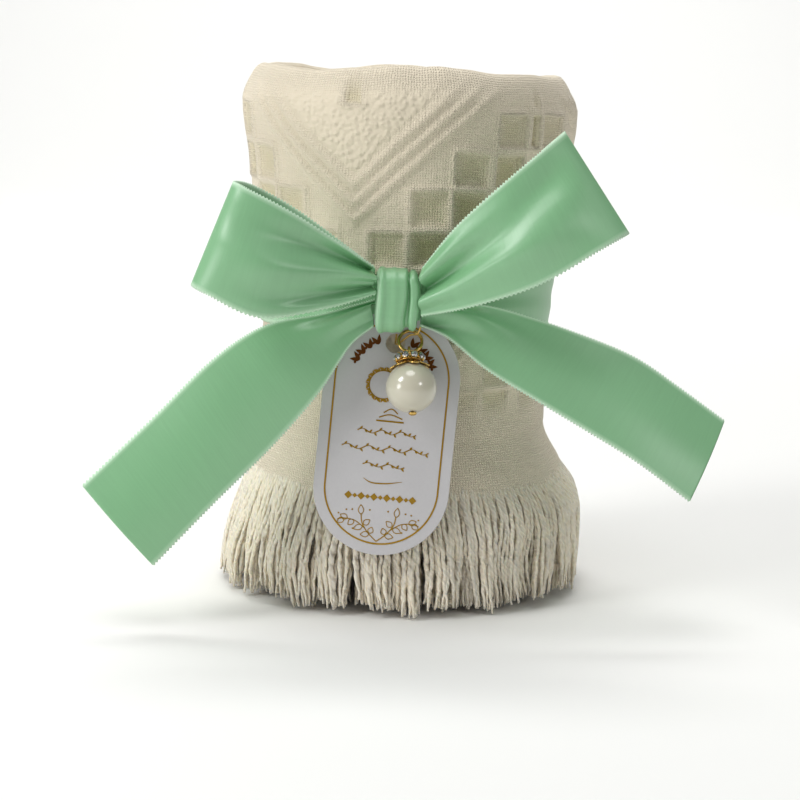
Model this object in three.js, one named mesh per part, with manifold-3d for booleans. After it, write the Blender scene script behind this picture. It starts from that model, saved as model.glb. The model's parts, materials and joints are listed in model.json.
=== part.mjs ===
// A small cotton towel, folded in half and rolled up on end, tied with a satin ribbon bow.
// A card tag and a pearl charm hang from the knot by a gold thread.
// Millimetres, +Z up. The origin is where the roll's axis meets the surface that it stands on.
// The bow is on the -Y side.
import * as THREE from 'three';
import { mergeVertices } from 'three/addons/utils/BufferGeometryUtils.js';
import Module from 'manifold-3d';

const wasm = await Module();
wasm.setup();

// Driving dimensions: towel
const towelHeight = 132;          // from the fringe's tips to the fold at the top
const topRadius = 41.2;           // outside of the roll near its top
const neckRadius = 37;            // narrowest place, just above the fringe
const neckHeight = 36;
const baseRadius = 47.8;          // outside of the spread fringe
const fringeLength = 28;
const leafThickness = 3.35;       // one of the two leaves that the fold brings together
const turnGap = 0.4;              // air between one turn and the next
const loosestCore = 5.2;          // no smaller hole is left at the middle of the roll
const coreOverlap = 1.39;         // how far the core reaches into the innermost turn
const outerEdgeAngle = 45;        // degrees from +X to the towel's loose outer edge
const seamGap = 0.3;              // between pieces that touch

// Driving dimensions: ribbon
const ribbonThickness = 0.8;
const bandWidth = 20;             // 25 mm ribbon, a little crumpled round the roll
const bandThickness = 1;
const bandGap = 0.5;
const knotHeight = 78;            // centre of the knot above the base
const knotOffset = -1.6;          // the knot sits a little left of the roll's axis
const knotWidth = 9.8;
const knotTall = 14.4;
const knotDeep = 10.5;
const knotWall = 1;
const knotRound = 3.4;

// Driving dimensions: card tag
const tagWidth = 32.5;
const tagLength = 58.5;
const tagThickness = 0.7;
const tagClearance = 1.3;         // from the waist band to the back of the card
const tagTilt = 4.3;              // degrees, the lower end to the left
const tagTopBelowKnot = 3.6;
const tagAside = 0.3;             // the tag's top to the right of the knot's centre
const holeRadius = 2.3;
const holeInset = 7.5;            // from the top end to the hole's centre
const knotToTag = 2.2;            // room for the card between the waist band and the knot

// Driving dimensions: charm
const ringRadius = 2.75;          // jump ring, to the middle of its wire
const ringWire = 0.4;             // wire radius
const ringAside = 3.4;
const ringDrop = 4.2;
const ringLean = 30;              // degrees forward
const eyeRadius = 1.3;
const eyeWire = 0.3;
const pearlRadius = 6;
const pearlClearance = 0.7;       // from the card's front to the pearl
const boreRadius = 0.7;
const pinRadius = 0.35;
const capThickness = 0.4;
const capGap = 0.25;
const capBoreRadius = 0.9;
const capReach = 42;              // degrees from the pearl's pole to the cap's edge
const collarHeight = 1.8;
const collarInner = 2;
const collarOuter = 2.5;
const collarDrop = 0.4;           // from the eye's centre to the collar
const collarGap = 0.2;            // from the collar to the cap
const pinFootRadius = 1;
const pinFootHeight = 0.5;
const stoneCount = 10;
const stoneRadius = 0.8;
const stoneGap = 0.3;
const threadRadius = 0.25;
const threadGap = 0.2;            // from the thread to the back of the card
const threadBesideKnot = 1;       // where the thread comes out, to the right of the knot's side

const stripThickness = 2 * leafThickness;
const turnPitch = stripThickness + turnGap;
const outerMiddle = topRadius - leafThickness;
const turns = Math.floor((outerMiddle - leafThickness - loosestCore) / turnPitch) + 0.5;
const stationsPerTurn = 20;
const towelBottom = fringeLength + seamGap;
const foldBase = towelHeight - leafThickness;

const radians = THREE.MathUtils.degToRad;

const finish = {
  cotton: { color: 0xe3dac2, roughness: 0.95, metalness: 0 },
  fringe: { color: 0xe8dfc9, roughness: 1, metalness: 0 },
  satin: { color: 0x9fdcb4, roughness: 0.4, metalness: 0 },
  card: { color: 0xe9e7e2, roughness: 0.6, metalness: 0 },
  gold: { color: 0xd8b45a, roughness: 0.3, metalness: 1 },
  pearl: { color: 0xf1eee2, roughness: 0.25, metalness: 0 },
  crystal: { color: 0xf4f7fa, roughness: 0.05, metalness: 0 },
};

function piece(name, geometry, look) {
  const mesh = new THREE.Mesh(geometry, new THREE.MeshStandardMaterial(finish[look]));
  mesh.name = name;
  return mesh;
}

function bare(geometry) {
  const copy = geometry.clone();
  copy.deleteAttribute('normal');
  copy.deleteAttribute('uv');
  return mergeVertices(copy, 1e-4);
}

function volume(geometry) {
  const { position } = geometry.attributes;
  const corner = [0, 1, 2].map(() => new THREE.Vector3());
  let total = 0;
  for (let i = 0; i < geometry.index.count; i += 3) {
    corner.forEach((c, k) => c.fromBufferAttribute(position, geometry.index.getX(i + k)));
    total += corner[0].dot(corner[1].cross(corner[2])) / 6;
  }
  return total;
}

// Faces are turned outwards where bending a shape has turned it inside out.
function outward(geometry) {
  const merged = bare(geometry);
  if (volume(merged) < 0) {
    merged.index.array.reverse();
  }
  return merged;
}

function bend(geometry, place) {
  const bent = bare(geometry);
  const { position } = bent.attributes;
  const at = new THREE.Vector3();
  for (let i = 0; i < position.count; i += 1) {
    at.fromBufferAttribute(position, i);
    const to = place(at);
    position.setXYZ(i, to.x, to.y, to.z);
  }
  return outward(bent);
}

function solid(geometry) {
  const clean = outward(geometry);
  const vertProperties = new Float32Array(clean.attributes.position.array);
  const triVerts = new Uint32Array(clean.index.array);
  return new wasm.Manifold(new wasm.Mesh({ numProp: 3, vertProperties, triVerts }));
}

function joined(...geometries) {
  const whole = geometries.map(solid).reduce((sum, next) => sum.add(next));
  const mesh = whole.getMesh();
  const geometry = new THREE.BufferGeometry();
  geometry.setAttribute('position', new THREE.BufferAttribute(new Float32Array(mesh.vertProperties), 3));
  geometry.setIndex(new THREE.BufferAttribute(new Uint32Array(mesh.triVerts), 1));
  return geometry;
}

// The roll's outside radius at a height: a spread fringe, a narrow neck, then a slight widening.
function rollRadius(height) {
  if (height < neckHeight) {
    const spread = Math.sin((Math.PI / 2) * (1 - height / neckHeight));
    return neckRadius + (baseRadius - neckRadius) * spread;
  }
  const rise = Math.min(1, (height - neckHeight) / (towelHeight - stripThickness - neckHeight));
  return neckRadius + (topRadius - neckRadius) * rise;
}

// Each turn keeps almost one radius and steps inwards behind the loose edge.
function inwardStep(turn) {
  const whole = Math.floor(turn);
  const part = (turn - whole) ** 3;
  return whole + part - Math.sin(2 * Math.PI * part) / (2 * Math.PI);
}

const coreRadius = outerMiddle - turnPitch * inwardStep(turns) - leafThickness + coreOverlap;

function rolled(at) {
  const turn = at.z * turns;
  const angle = radians(outerEdgeAngle) - 2 * Math.PI * turn;
  const squeeze = rollRadius(at.y) / topRadius;
  const radius = (outerMiddle - turnPitch * inwardStep(turn) + at.x) * squeeze;
  return new THREE.Vector3(radius * Math.cos(angle), radius * Math.sin(angle), at.y);
}

// A section drawn as radial offset against height, wound inwards from the loose edge.
function wound(section) {
  const steps = Math.round(turns * stationsPerTurn);
  const form = { depth: 1, steps, bevelEnabled: false, curveSegments: 4 };
  const straight = new THREE.ExtrudeGeometry(section, form);
  return bend(straight, rolled);
}

function stripSection(inner, outer, heights) {
  const section = new THREE.Shape();
  section.moveTo(inner, heights[0]);
  heights.forEach((h) => section.lineTo(outer, h));
  return section;
}

function closeSection(section, inner, heights) {
  [...heights].reverse().slice(0, -1).forEach((h) => section.lineTo(inner, h));
  return section;
}

function coreSolid(heights, radius) {
  const profile = heights.map((h) => new THREE.Vector2((radius * rollRadius(h)) / topRadius, h));
  const low = new THREE.Vector2(0, heights[0]);
  const high = new THREE.Vector2(0, heights[heights.length - 1]);
  return new THREE.LatheGeometry([low, ...profile, high], 16).rotateX(Math.PI / 2);
}

function towelCloth() {
  const third = (foldBase - neckHeight) / 3;
  const heights = [towelBottom, (towelBottom + neckHeight) / 2, neckHeight, neckHeight + third,
    foldBase - third, foldBase];
  const section = stripSection(-leafThickness, leafThickness, heights);
  section.absarc(0, foldBase, leafThickness, 0, Math.PI, false);
  closeSection(section, -leafThickness, heights.slice(0, -1));
  return piece('towel_cloth', joined(wound(section), coreSolid(heights, coreRadius)), 'cotton');
}

const fringeHeights = [0, fringeLength * 0.25, fringeLength * 0.6, fringeLength];

function fringeStrip(inner, outer) {
  return wound(closeSection(stripSection(inner, outer, fringeHeights), inner, fringeHeights));
}

function fringes() {
  const split = seamGap / 2;
  const outerLeaf = fringeStrip(split, leafThickness);
  const innerLeaf = joined(fringeStrip(-leafThickness, -split), coreSolid(fringeHeights, coreRadius));
  return [piece('fringe_outer_leaf', outerLeaf, 'fringe'), piece('fringe_inner_leaf', innerLeaf, 'fringe')];
}

function waistBand() {
  const low = knotHeight - bandWidth / 2;
  const high = knotHeight + bandWidth / 2;
  const inside = (h) => rollRadius(h) + bandGap;
  const profile = [
    new THREE.Vector2(inside(low), low),
    new THREE.Vector2(inside(low) + bandThickness, low),
    new THREE.Vector2(inside(high) + bandThickness, high),
    new THREE.Vector2(inside(high), high),
    new THREE.Vector2(inside(low), low),
  ];
  const band = new THREE.LatheGeometry(profile, 48).rotateX(Math.PI / 2);
  return piece('ribbon_waist_band', outward(band), 'satin');
}

const bandFront = rollRadius(knotHeight) + bandGap + bandThickness;
const knotBack = bandFront + tagThickness + knotToTag;
const bowPlace = new THREE.Vector3(knotOffset, -(knotBack + knotDeep / 2), knotHeight);

function roundedBox(shape, deep, tall, round) {
  const y = deep / 2 - round;
  const z = tall / 2 - round;
  shape.absarc(y, z, round, 0, Math.PI / 2, false);
  shape.absarc(-y, z, round, Math.PI / 2, Math.PI, false);
  shape.absarc(-y, -z, round, Math.PI, 1.5 * Math.PI, false);
  shape.absarc(y, -z, round, 1.5 * Math.PI, 2 * Math.PI, false);
  shape.closePath();
  return shape;
}

// Extruded along X, with the section's first axis along Y and its second along Z.
function alongX(shape, length) {
  const form = { depth: length, bevelEnabled: false, curveSegments: 5 };
  const extruded = new THREE.ExtrudeGeometry(shape, form);
  const turned = (at) => new THREE.Vector3(at.z - length / 2, at.x, at.y);
  return bend(extruded, turned);
}

function knot() {
  const wrap = roundedBox(new THREE.Shape(), knotDeep, knotTall, knotRound);
  const inset = 2 * knotWall;
  const hole = roundedBox(new THREE.Path(), knotDeep - inset, knotTall - inset, knotRound - knotWall);
  wrap.holes.push(hole);
  const slack = inset + 2 * seamGap;
  const core = roundedBox(new THREE.Shape(), knotDeep - slack, knotTall - slack, knotRound - slack / 2);
  const coreLength = knotWidth - 2 * seamGap;
  return [
    piece('ribbon_knot_wrap', alongX(wrap, knotWidth), 'satin'),
    piece('ribbon_knot_core', alongX(core, coreLength), 'satin'),
  ];
}

// A length of ribbon between two edges, each given by hand-placed points from the knot outwards.
function ribbon(name, upper, lower, steps) {
  const top = new THREE.CatmullRomCurve3(upper.map((p) => new THREE.Vector3(...p)));
  const bottom = new THREE.CatmullRomCurve3(lower.map((p) => new THREE.Vector3(...p)));
  const flat = new THREE.BoxGeometry(1, 1, ribbonThickness, steps, 1, 1);
  const place = (at) => {
    const u = THREE.MathUtils.clamp(at.x + 0.5, 0, 1);
    const high = top.getPoint(u);
    const low = bottom.getPoint(u);
    const across = high.clone().sub(low);
    const along = top.getTangent(u).add(bottom.getTangent(u));
    const face = along.cross(across).normalize();
    return low.addScaledVector(across, at.y + 0.5).addScaledVector(face, at.z);
  };
  return piece(name, bend(flat, place), 'satin');
}

const rootX = knotWidth / 2 + 2 * seamGap;

// Edge points are measured from the knot's centre.
function bow() {
  const loopLeft = ribbon('ribbon_loop_left',
    [[-rootX, 3.4, 6.2], [-20.4, 1.6, 17], [-32.6, -2.6, 24.6], [-39.6, -9.8, 26],
      [-38.4, -15.8, 20.5], [-29.6, -10.8, 10.5], [-rootX, -3.4, 5.6]],
    [[-rootX, 3.4, 1], [-20.4, 1.2, 0.5], [-36.4, -3.8, 1.6], [-46.9, -11.4, 2],
      [-41.4, -17.2, 0], [-29.6, -9.6, -4], [-rootX, -3.4, 0.8]], 24);
  const loopRight = ribbon('ribbon_loop_right',
    [[rootX, 3.4, 6.4], [21, 1, 19], [34, -3.6, 33], [38.8, -9.6, 37.5],
      [31, -13, 32], [20, -9, 23], [rootX, -3.4, 6.8]],
    [[rootX, 3.4, 1], [22, 1, 2.4], [44, -5.6, 13.5], [51.5, -11.6, 16],
      [40, -14.6, 8], [23, -11, 1.8], [rootX, -3.4, 0.6]], 24);
  const tailLeft = ribbon('ribbon_tail_left',
    [[-rootX, 1, -0.6], [-16.4, 0.2, -5.4], [-28.6, 0, -7.2], [-38, 0, -12],
      [-53.6, -1.6, -27], [-72.6, -4.6, -46.2]],
    [[-rootX, 1, -6], [-10.6, 0, -12], [-16.6, -2, -21.5], [-26.6, -3.6, -33],
      [-39.6, -5.6, -46.5], [-57, -7.6, -64]], 16);
  const tailRight = ribbon('ribbon_tail_right',
    [[rootX, 1.6, -0.6], [19.6, 2.8, -2], [35.6, 3.8, -5.8], [52.6, 3.8, -12.4],
      [66.6, 2.8, -21], [76.6, 1.8, -27.6]],
    [[rootX, 1, -6], [12.6, -0.6, -12.6], [21.2, -3.8, -17.6], [35.2, -6.8, -24.4],
      [51.6, -9.2, -34], [69, -10.6, -45]], 16);
  const group = new THREE.Group();
  group.position.copy(bowPlace);
  group.add(...knot(), loopLeft, loopRight, tailLeft, tailRight);
  return group;
}

const tagTop = knotHeight - tagTopBelowKnot;
const tagFront = rollRadius(tagTop) + bandGap + bandThickness + tagClearance + tagThickness / 2;
const tagLowEnd = tagTop - tagLength;
const tagLean = Math.asin((rollRadius(tagLowEnd) + tagClearance + tagThickness / 2 - tagFront) / tagLength);

// The card stands in the XZ plane with its top end at the origin.
function tagCard() {
  const end = tagWidth / 2;
  const outline = new THREE.Shape();
  outline.absarc(0, -end, end, 0, Math.PI, false);
  outline.absarc(0, -(tagLength - end), end, Math.PI, 2 * Math.PI, false);
  outline.closePath();
  const hole = new THREE.Path();
  hole.absarc(0, -holeInset, holeRadius, 0, 2 * Math.PI, true);
  outline.holes.push(hole);
  const form = { depth: tagThickness, bevelEnabled: false, curveSegments: 14 };
  const card = new THREE.ExtrudeGeometry(outline, form);
  card.translate(0, 0, -tagThickness / 2).rotateX(Math.PI / 2);
  return piece('tag_card', outward(card), 'card');
}

const ringTop = new THREE.Vector3(ringAside, -(tagThickness / 2 + seamGap + ringWire), -ringDrop);

function hangThread() {
  const section = new THREE.Shape();
  section.absarc(0, 0, threadRadius, 0, 2 * Math.PI, false);
  const besideWire = ringWire + threadRadius + seamGap;
  const behindCard = tagThickness / 2 + threadRadius + threadGap;
  const besideKnot = knotWidth / 2 - tagAside + threadBesideKnot;
  const route = new THREE.CatmullRomCurve3([
    new THREE.Vector3(besideKnot, -4.4, -2.4),
    new THREE.Vector3(besideKnot - 0.8, ringTop.y - 2.2 * besideWire, ringTop.z - 0.4),
    new THREE.Vector3(ringTop.x - 0.3, ringTop.y - 0.2, ringTop.z - besideWire),
    new THREE.Vector3(0.6, -1.1, -holeInset + 0.3),
    new THREE.Vector3(0, 0, -holeInset),
    new THREE.Vector3(0, behindCard, -holeInset + 1.4),
    new THREE.Vector3(0, behindCard, -1),
  ]);
  const tube = new THREE.ExtrudeGeometry(section, { steps: 26, curveSegments: 3, extrudePath: route });
  return piece('hang_thread', outward(tube), 'gold');
}

function jumpRing() {
  const ring = new THREE.TorusGeometry(ringRadius, ringWire, 8, 24);
  ring.rotateX(Math.PI / 2).translate(0, 0, -ringRadius);
  return piece('jump_ring', outward(ring), 'gold');
}

const capOuter = pearlRadius + capGap + capThickness;
const pearlDrop = collarDrop + collarHeight + collarGap + capOuter;

// The eye's centre hangs a little inside the lowest wire of the jump ring.
const eyeDrop = 2 * ringRadius + eyeRadius - eyeWire - ringWire - seamGap;
const eyeForward = eyeDrop * Math.sin(radians(ringLean)) - ringTop.y;
const pearlForward = tagThickness / 2 + pearlClearance + pearlRadius;
const charmLean = Math.asin((pearlForward - eyeForward) / pearlDrop);

function latheZ(points, segments) {
  const profile = points.map(([radius, height]) => new THREE.Vector2(radius, height));
  return outward(new THREE.LatheGeometry(profile, segments).rotateX(Math.PI / 2));
}

function eyePin() {
  const eye = new THREE.TorusGeometry(eyeRadius, eyeWire, 8, 18).rotateY(Math.PI / 2);
  const foot = -(pearlDrop + pearlRadius) - seamGap;
  const neck = -eyeRadius;
  const rod = latheZ([[0, foot - pinFootHeight], [0.8 * pinFootRadius, foot - 0.8 * pinFootHeight],
    [pinFootRadius, foot], [pinRadius, foot], [pinRadius, neck], [0, neck]], 10);
  return piece('eye_pin', joined(eye, rod), 'gold');
}

function collar() {
  const top = -collarDrop;
  const bottom = top - collarHeight;
  const band = [[collarInner, top], [collarInner, bottom], [collarOuter, bottom], [collarOuter, top],
    [collarInner, top]];
  const stones = [];
  for (let i = 0; i < stoneCount; i += 1) {
    const angle = (2 * Math.PI * i) / stoneCount;
    const stone = new THREE.OctahedronGeometry(stoneRadius, 0);
    const out = collarOuter + stoneGap + stoneRadius;
    const mesh = piece(`rhinestone_${i + 1}`, outward(stone), 'crystal');
    mesh.position.set(out * Math.cos(angle), out * Math.sin(angle), (top + bottom) / 2);
    mesh.rotation.z = angle;
    stones.push(mesh);
  }
  return [piece('rhinestone_collar', latheZ(band, 24), 'gold'), ...stones];
}

function beadCap() {
  const inner = pearlRadius + capGap;
  const first = Math.asin(capBoreRadius / inner);
  const last = radians(capReach);
  const points = [];
  const arc = 5;
  for (let i = 0; i <= arc; i += 1) {
    const angle = first + ((last - first) * i) / arc;
    points.push([inner * Math.sin(angle), inner * Math.cos(angle) - pearlDrop]);
  }
  for (let i = arc; i >= 0; i -= 1) {
    const angle = first + ((last - first) * i) / arc;
    points.push([capOuter * Math.sin(angle), capOuter * Math.cos(angle) - pearlDrop]);
  }
  points.push(points[0]);
  return piece('bead_cap', latheZ(points, 24), 'gold');
}

function pearl() {
  const first = Math.asin(boreRadius / pearlRadius);
  const points = [];
  const arc = 12;
  for (let i = 0; i <= arc; i += 1) {
    const angle = first + ((Math.PI - 2 * first) * i) / arc;
    points.push([pearlRadius * Math.sin(angle), pearlRadius * Math.cos(angle) - pearlDrop]);
  }
  points.push(points[0]);
  return piece('pearl', latheZ(points, 24), 'pearl');
}

// The eye's centre is the charm's origin.
function charm() {
  const hung = new THREE.Group();
  hung.position.set(0, 0, -eyeDrop);
  hung.rotation.x = radians(ringLean) - charmLean;
  hung.add(eyePin(), ...collar(), beadCap(), pearl());
  const ring = new THREE.Group();
  ring.position.copy(ringTop);
  ring.rotation.x = -radians(ringLean);
  ring.add(jumpRing(), hung);
  return ring;
}

function tag() {
  const group = new THREE.Group();
  group.position.set(knotOffset + tagAside, -tagFront, tagTop);
  group.rotation.set(-tagLean, radians(tagTilt), 0);
  group.add(tagCard(), hangThread(), charm());
  return group;
}

const group = new THREE.Group();
group.add(towelCloth(), ...fringes(), waistBand(), bow(), tag());

export default group;
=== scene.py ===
import json
import math
import random

import bmesh
import bpy
from bpy.props import FloatProperty, FloatVectorProperty, IntProperty, PointerProperty
from mathutils import Matrix, Vector, noise
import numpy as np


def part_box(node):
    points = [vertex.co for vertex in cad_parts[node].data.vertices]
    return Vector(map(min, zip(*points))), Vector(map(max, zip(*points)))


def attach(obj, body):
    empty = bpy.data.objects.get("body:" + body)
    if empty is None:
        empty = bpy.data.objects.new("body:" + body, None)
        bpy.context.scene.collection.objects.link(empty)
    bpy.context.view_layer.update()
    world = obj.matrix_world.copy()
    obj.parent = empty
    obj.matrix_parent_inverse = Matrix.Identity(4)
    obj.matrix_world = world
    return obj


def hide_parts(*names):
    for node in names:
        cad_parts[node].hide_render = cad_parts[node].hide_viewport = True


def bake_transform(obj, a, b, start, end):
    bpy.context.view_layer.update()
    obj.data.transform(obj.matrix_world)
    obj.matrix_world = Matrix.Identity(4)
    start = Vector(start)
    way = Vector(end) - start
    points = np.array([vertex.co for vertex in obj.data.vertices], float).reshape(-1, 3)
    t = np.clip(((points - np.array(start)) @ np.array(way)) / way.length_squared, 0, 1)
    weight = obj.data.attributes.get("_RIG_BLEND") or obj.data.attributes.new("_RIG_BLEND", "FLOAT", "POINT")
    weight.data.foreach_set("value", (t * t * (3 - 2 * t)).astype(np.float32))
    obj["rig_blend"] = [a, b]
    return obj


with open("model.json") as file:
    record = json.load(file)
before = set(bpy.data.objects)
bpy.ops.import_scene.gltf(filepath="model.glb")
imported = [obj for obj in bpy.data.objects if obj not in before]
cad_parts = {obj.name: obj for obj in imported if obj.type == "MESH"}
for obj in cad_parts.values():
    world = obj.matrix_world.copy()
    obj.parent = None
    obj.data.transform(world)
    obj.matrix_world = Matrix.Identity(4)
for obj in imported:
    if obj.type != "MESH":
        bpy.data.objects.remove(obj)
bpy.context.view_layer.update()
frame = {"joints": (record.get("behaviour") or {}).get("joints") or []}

bl_info = {
    "name": "Rolled towel with bow, tag and charm",
    "version": (1, 0, 0),
    "blender": (4, 5, 0),
    "location": "3D View > Sidebar > Towel",
    "description": "Builds a rolled jacquard towel tied with a satin bow, with its card tag and charm",
    "category": "Object",
}

MM = 0.001
FULL_TURN = 2 * math.pi


def placed_joint(name):
    """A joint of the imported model, with its point and its axis as vectors."""
    row = next(j for j in frame["joints"] if j["name"] == name)
    return Vector(row["pos_m"]), Vector(row["axis"]).normalized()


def box_centre(name):
    low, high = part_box(name)
    return (low + high) / 2


# Towel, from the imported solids
TOWEL_LOW, TOWEL_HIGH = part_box("towel_cloth")
BAND_LOW, BAND_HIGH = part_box("ribbon_waist_band")
KNOT_LOW, KNOT_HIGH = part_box("ribbon_knot_wrap")
KNOT = box_centre("ribbon_knot_wrap")
KNOT_SIZE = KNOT_HIGH - KNOT_LOW

TOP_RADIUS = 41.2 * MM            # outside of the roll near its top
NECK_RADIUS = 37 * MM             # narrowest place, just above the fringe
NECK_HEIGHT = 36 * MM
BASE_RADIUS = 47.8 * MM           # outside of the spread fringe
STRIP = 6.7 * MM                  # both leaves of the folded towel
TURN_PITCH = 7.1 * MM
TURNS = 4.5
OUTER_EDGE = math.radians(45)     # where the loose edge lies round the roll
OUTER_MIDDLE = TOP_RADIUS - STRIP / 2

# Axes of the tag and of the charm, from the joints they hang on
TAG_TOP, lift_axis = placed_joint("tag_lift")
_, swing_axis = placed_joint("tag_swing")
TAG_X = -lift_axis
TAG_Y = -swing_axis
TAG_Z = TAG_X.cross(TAG_Y).normalized()
EYE, _ = placed_joint("charm_lift")
RING_TOP, _ = placed_joint("ring_swing")
PEARL_ASIDE = Vector((1.3, 0, 0.5)) * MM     # it hangs a little to the right of its solid
PEARL = box_centre("pearl") + PEARL_ASIDE


def axes(origin, x, z):
    """A placement whose X and Z point along two directions."""
    z = z.normalized()
    y = z.cross(x).normalized()
    x = y.cross(z)
    turn = Matrix((x, y, z)).transposed().to_4x4()
    return Matrix.Translation(origin) @ turn


TAG_PLACE = axes(TAG_TOP, TAG_X, TAG_Z)
CHARM_PLACE = axes(EYE, TAG_X, EYE - PEARL)
RING_PLACE = axes(RING_TOP, TAG_X, RING_TOP - box_centre("jump_ring"))


def linear(hex_colour):
    """An sRGB hex colour as the linear RGB that shaders take."""
    values = [int(hex_colour[i:i + 2], 16) / 255 for i in (0, 2, 4)]
    return tuple(v / 12.92 if v <= 0.04045 else ((v + 0.055) / 1.055) ** 2.4 for v in values)


def colour_prop(name, description, hex_colour):
    return FloatVectorProperty(name=name, description=description, default=linear(hex_colour),
                               subtype="COLOR", size=3, min=0, max=1)


def length_prop(name, description, metres):
    return FloatProperty(name=name, description=description, default=metres, min=0,
                         unit="LENGTH", subtype="DISTANCE", precision=5)


class TowelSettings(bpy.types.PropertyGroup):
    cotton: colour_prop("Cotton", "Colour of the bleached cotton", "efe3cb")
    # Painted shade: the cotton's colour as it looks in shade down in the woven squares.
    painted_hollow_shade: colour_prop("Cotton in hollows", "Colour down in the woven squares", "d4caa4")
    yarn: colour_prop("Fringe yarn", "Colour of the fringe yarn", "fbf0dc")
    leaf: length_prop("Leaf thickness", "Thickness of one layer of the cloth", 2.6 * MM)
    cell: length_prop("Square", "Side of one square of the woven pattern", 9.6 * MM)
    relief: length_prop("Relief", "Depth of the woven pattern", 1.0 * MM)
    yarn_width: length_prop("Yarn width", "Thickness of one fringe yarn", 1.12 * MM)
    yarn_step: length_prop("Yarn spacing", "Distance between yarns round the roll", 0.92 * MM)


class RibbonSettings(bpy.types.PropertyGroup):
    satin: colour_prop("Satin", "Colour of the satin ribbon", "88bf8e")
    selvage: colour_prop("Selvage", "Colour of the ribbon's looped edge", "cdebce")
    width: length_prop("Width", "Full width of the ribbon", 25.4 * MM)
    thickness: length_prop("Thickness", "Thickness of the ribbon", 0.35 * MM)
    picot: length_prop("Picot", "Height of the small loops along the edges", 0.34 * MM)
    picot_step: length_prop("Picot spacing", "Distance between the small loops", 0.75 * MM)


class TagSettings(bpy.types.PropertyGroup):
    # Painted shade: the white card greyed as it looks in shade.
    card: colour_prop("Card", "Colour of the card", "cccacc")
    foil: colour_prop("Foil", "Colour of the stamped foil", "c39a3c")
    # Painted reflection: the gold foil darkened to bronze, as it looks where it reflects dark.
    foil_painted_dark_reflection: colour_prop("Dark foil", "Colour of the darker bronze foil", "7a4a22")
    border: length_prop("Border width", "Width of the border line", 0.42 * MM)
    inset: length_prop("Border inset", "Distance from the card's edge to the border", 2.5 * MM)


class CharmSettings(bpy.types.PropertyGroup):
    gold: colour_prop("Plating", "Colour of the plated metal", "d9b468")
    pearl: colour_prop("Pearl", "Colour of the pearl coating", "cdc8b4")
    crystal: colour_prop("Rhinestone", "Tint of the glass stones", "f2f5f7")
    petals: IntProperty(name="Petals", description="Scallops round the bead cap", default=7, min=3)


class StageSettings(bpy.types.PropertyGroup):
    floor: colour_prop("Floor", "Colour of the floor", "f6f6f4")
    distance: length_prop("Camera distance", "From the roll's axis to the camera", 516 * MM)
    height: length_prop("Camera height", "Height of the camera above the floor", 132.7 * MM)
    pitch: FloatProperty(name="Pitch", description="How far the camera looks down",
                         default=math.radians(9.52), subtype="ANGLE")
    roll: FloatProperty(name="Roll", description="How far the camera leans",
                        default=math.radians(1.4), subtype="ANGLE")
    lens: FloatProperty(name="Lens", description="Focal length on a 36 mm sensor",
                        default=90.4, subtype="DISTANCE_CAMERA")


# Materials

def connect(tree, target, inputs):
    """Links sockets into a node's inputs, and sets plain values on the others."""
    for socket, value in inputs.items():
        if isinstance(value, bpy.types.NodeSocket):
            tree.links.new(value, target.inputs[socket])
        else:
            target.inputs[socket].default_value = value


def node(tree, kind, inputs=None, out=0, **settings):
    """Adds one node with its settings and inputs, and gives one of its outputs."""
    new = tree.nodes.new(kind)
    for key, value in settings.items():
        setattr(new, key, value)
    connect(tree, new, inputs or {})
    return new.outputs[out]


def material(name, base):
    """A material with one Principled shader whose plain sockets are set from base."""
    made = bpy.data.materials.new(name)
    made.use_nodes = True
    tree = made.node_tree
    shader = tree.nodes["Principled BSDF"]
    connect(tree, shader, base)
    return made, tree, shader


def rgba(colour, *shares):
    """A colour with full alpha, its channels multiplied by one share or by three."""
    shares = shares if len(shares) == 3 else shares * 3 or (1, 1, 1)
    return (*(c * share for c, share in zip(colour, shares)), 1)


def wave_scale(period):
    """The scale that gives a wave texture a real period in metres."""
    return FULL_TURN / (20 * period)


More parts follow.
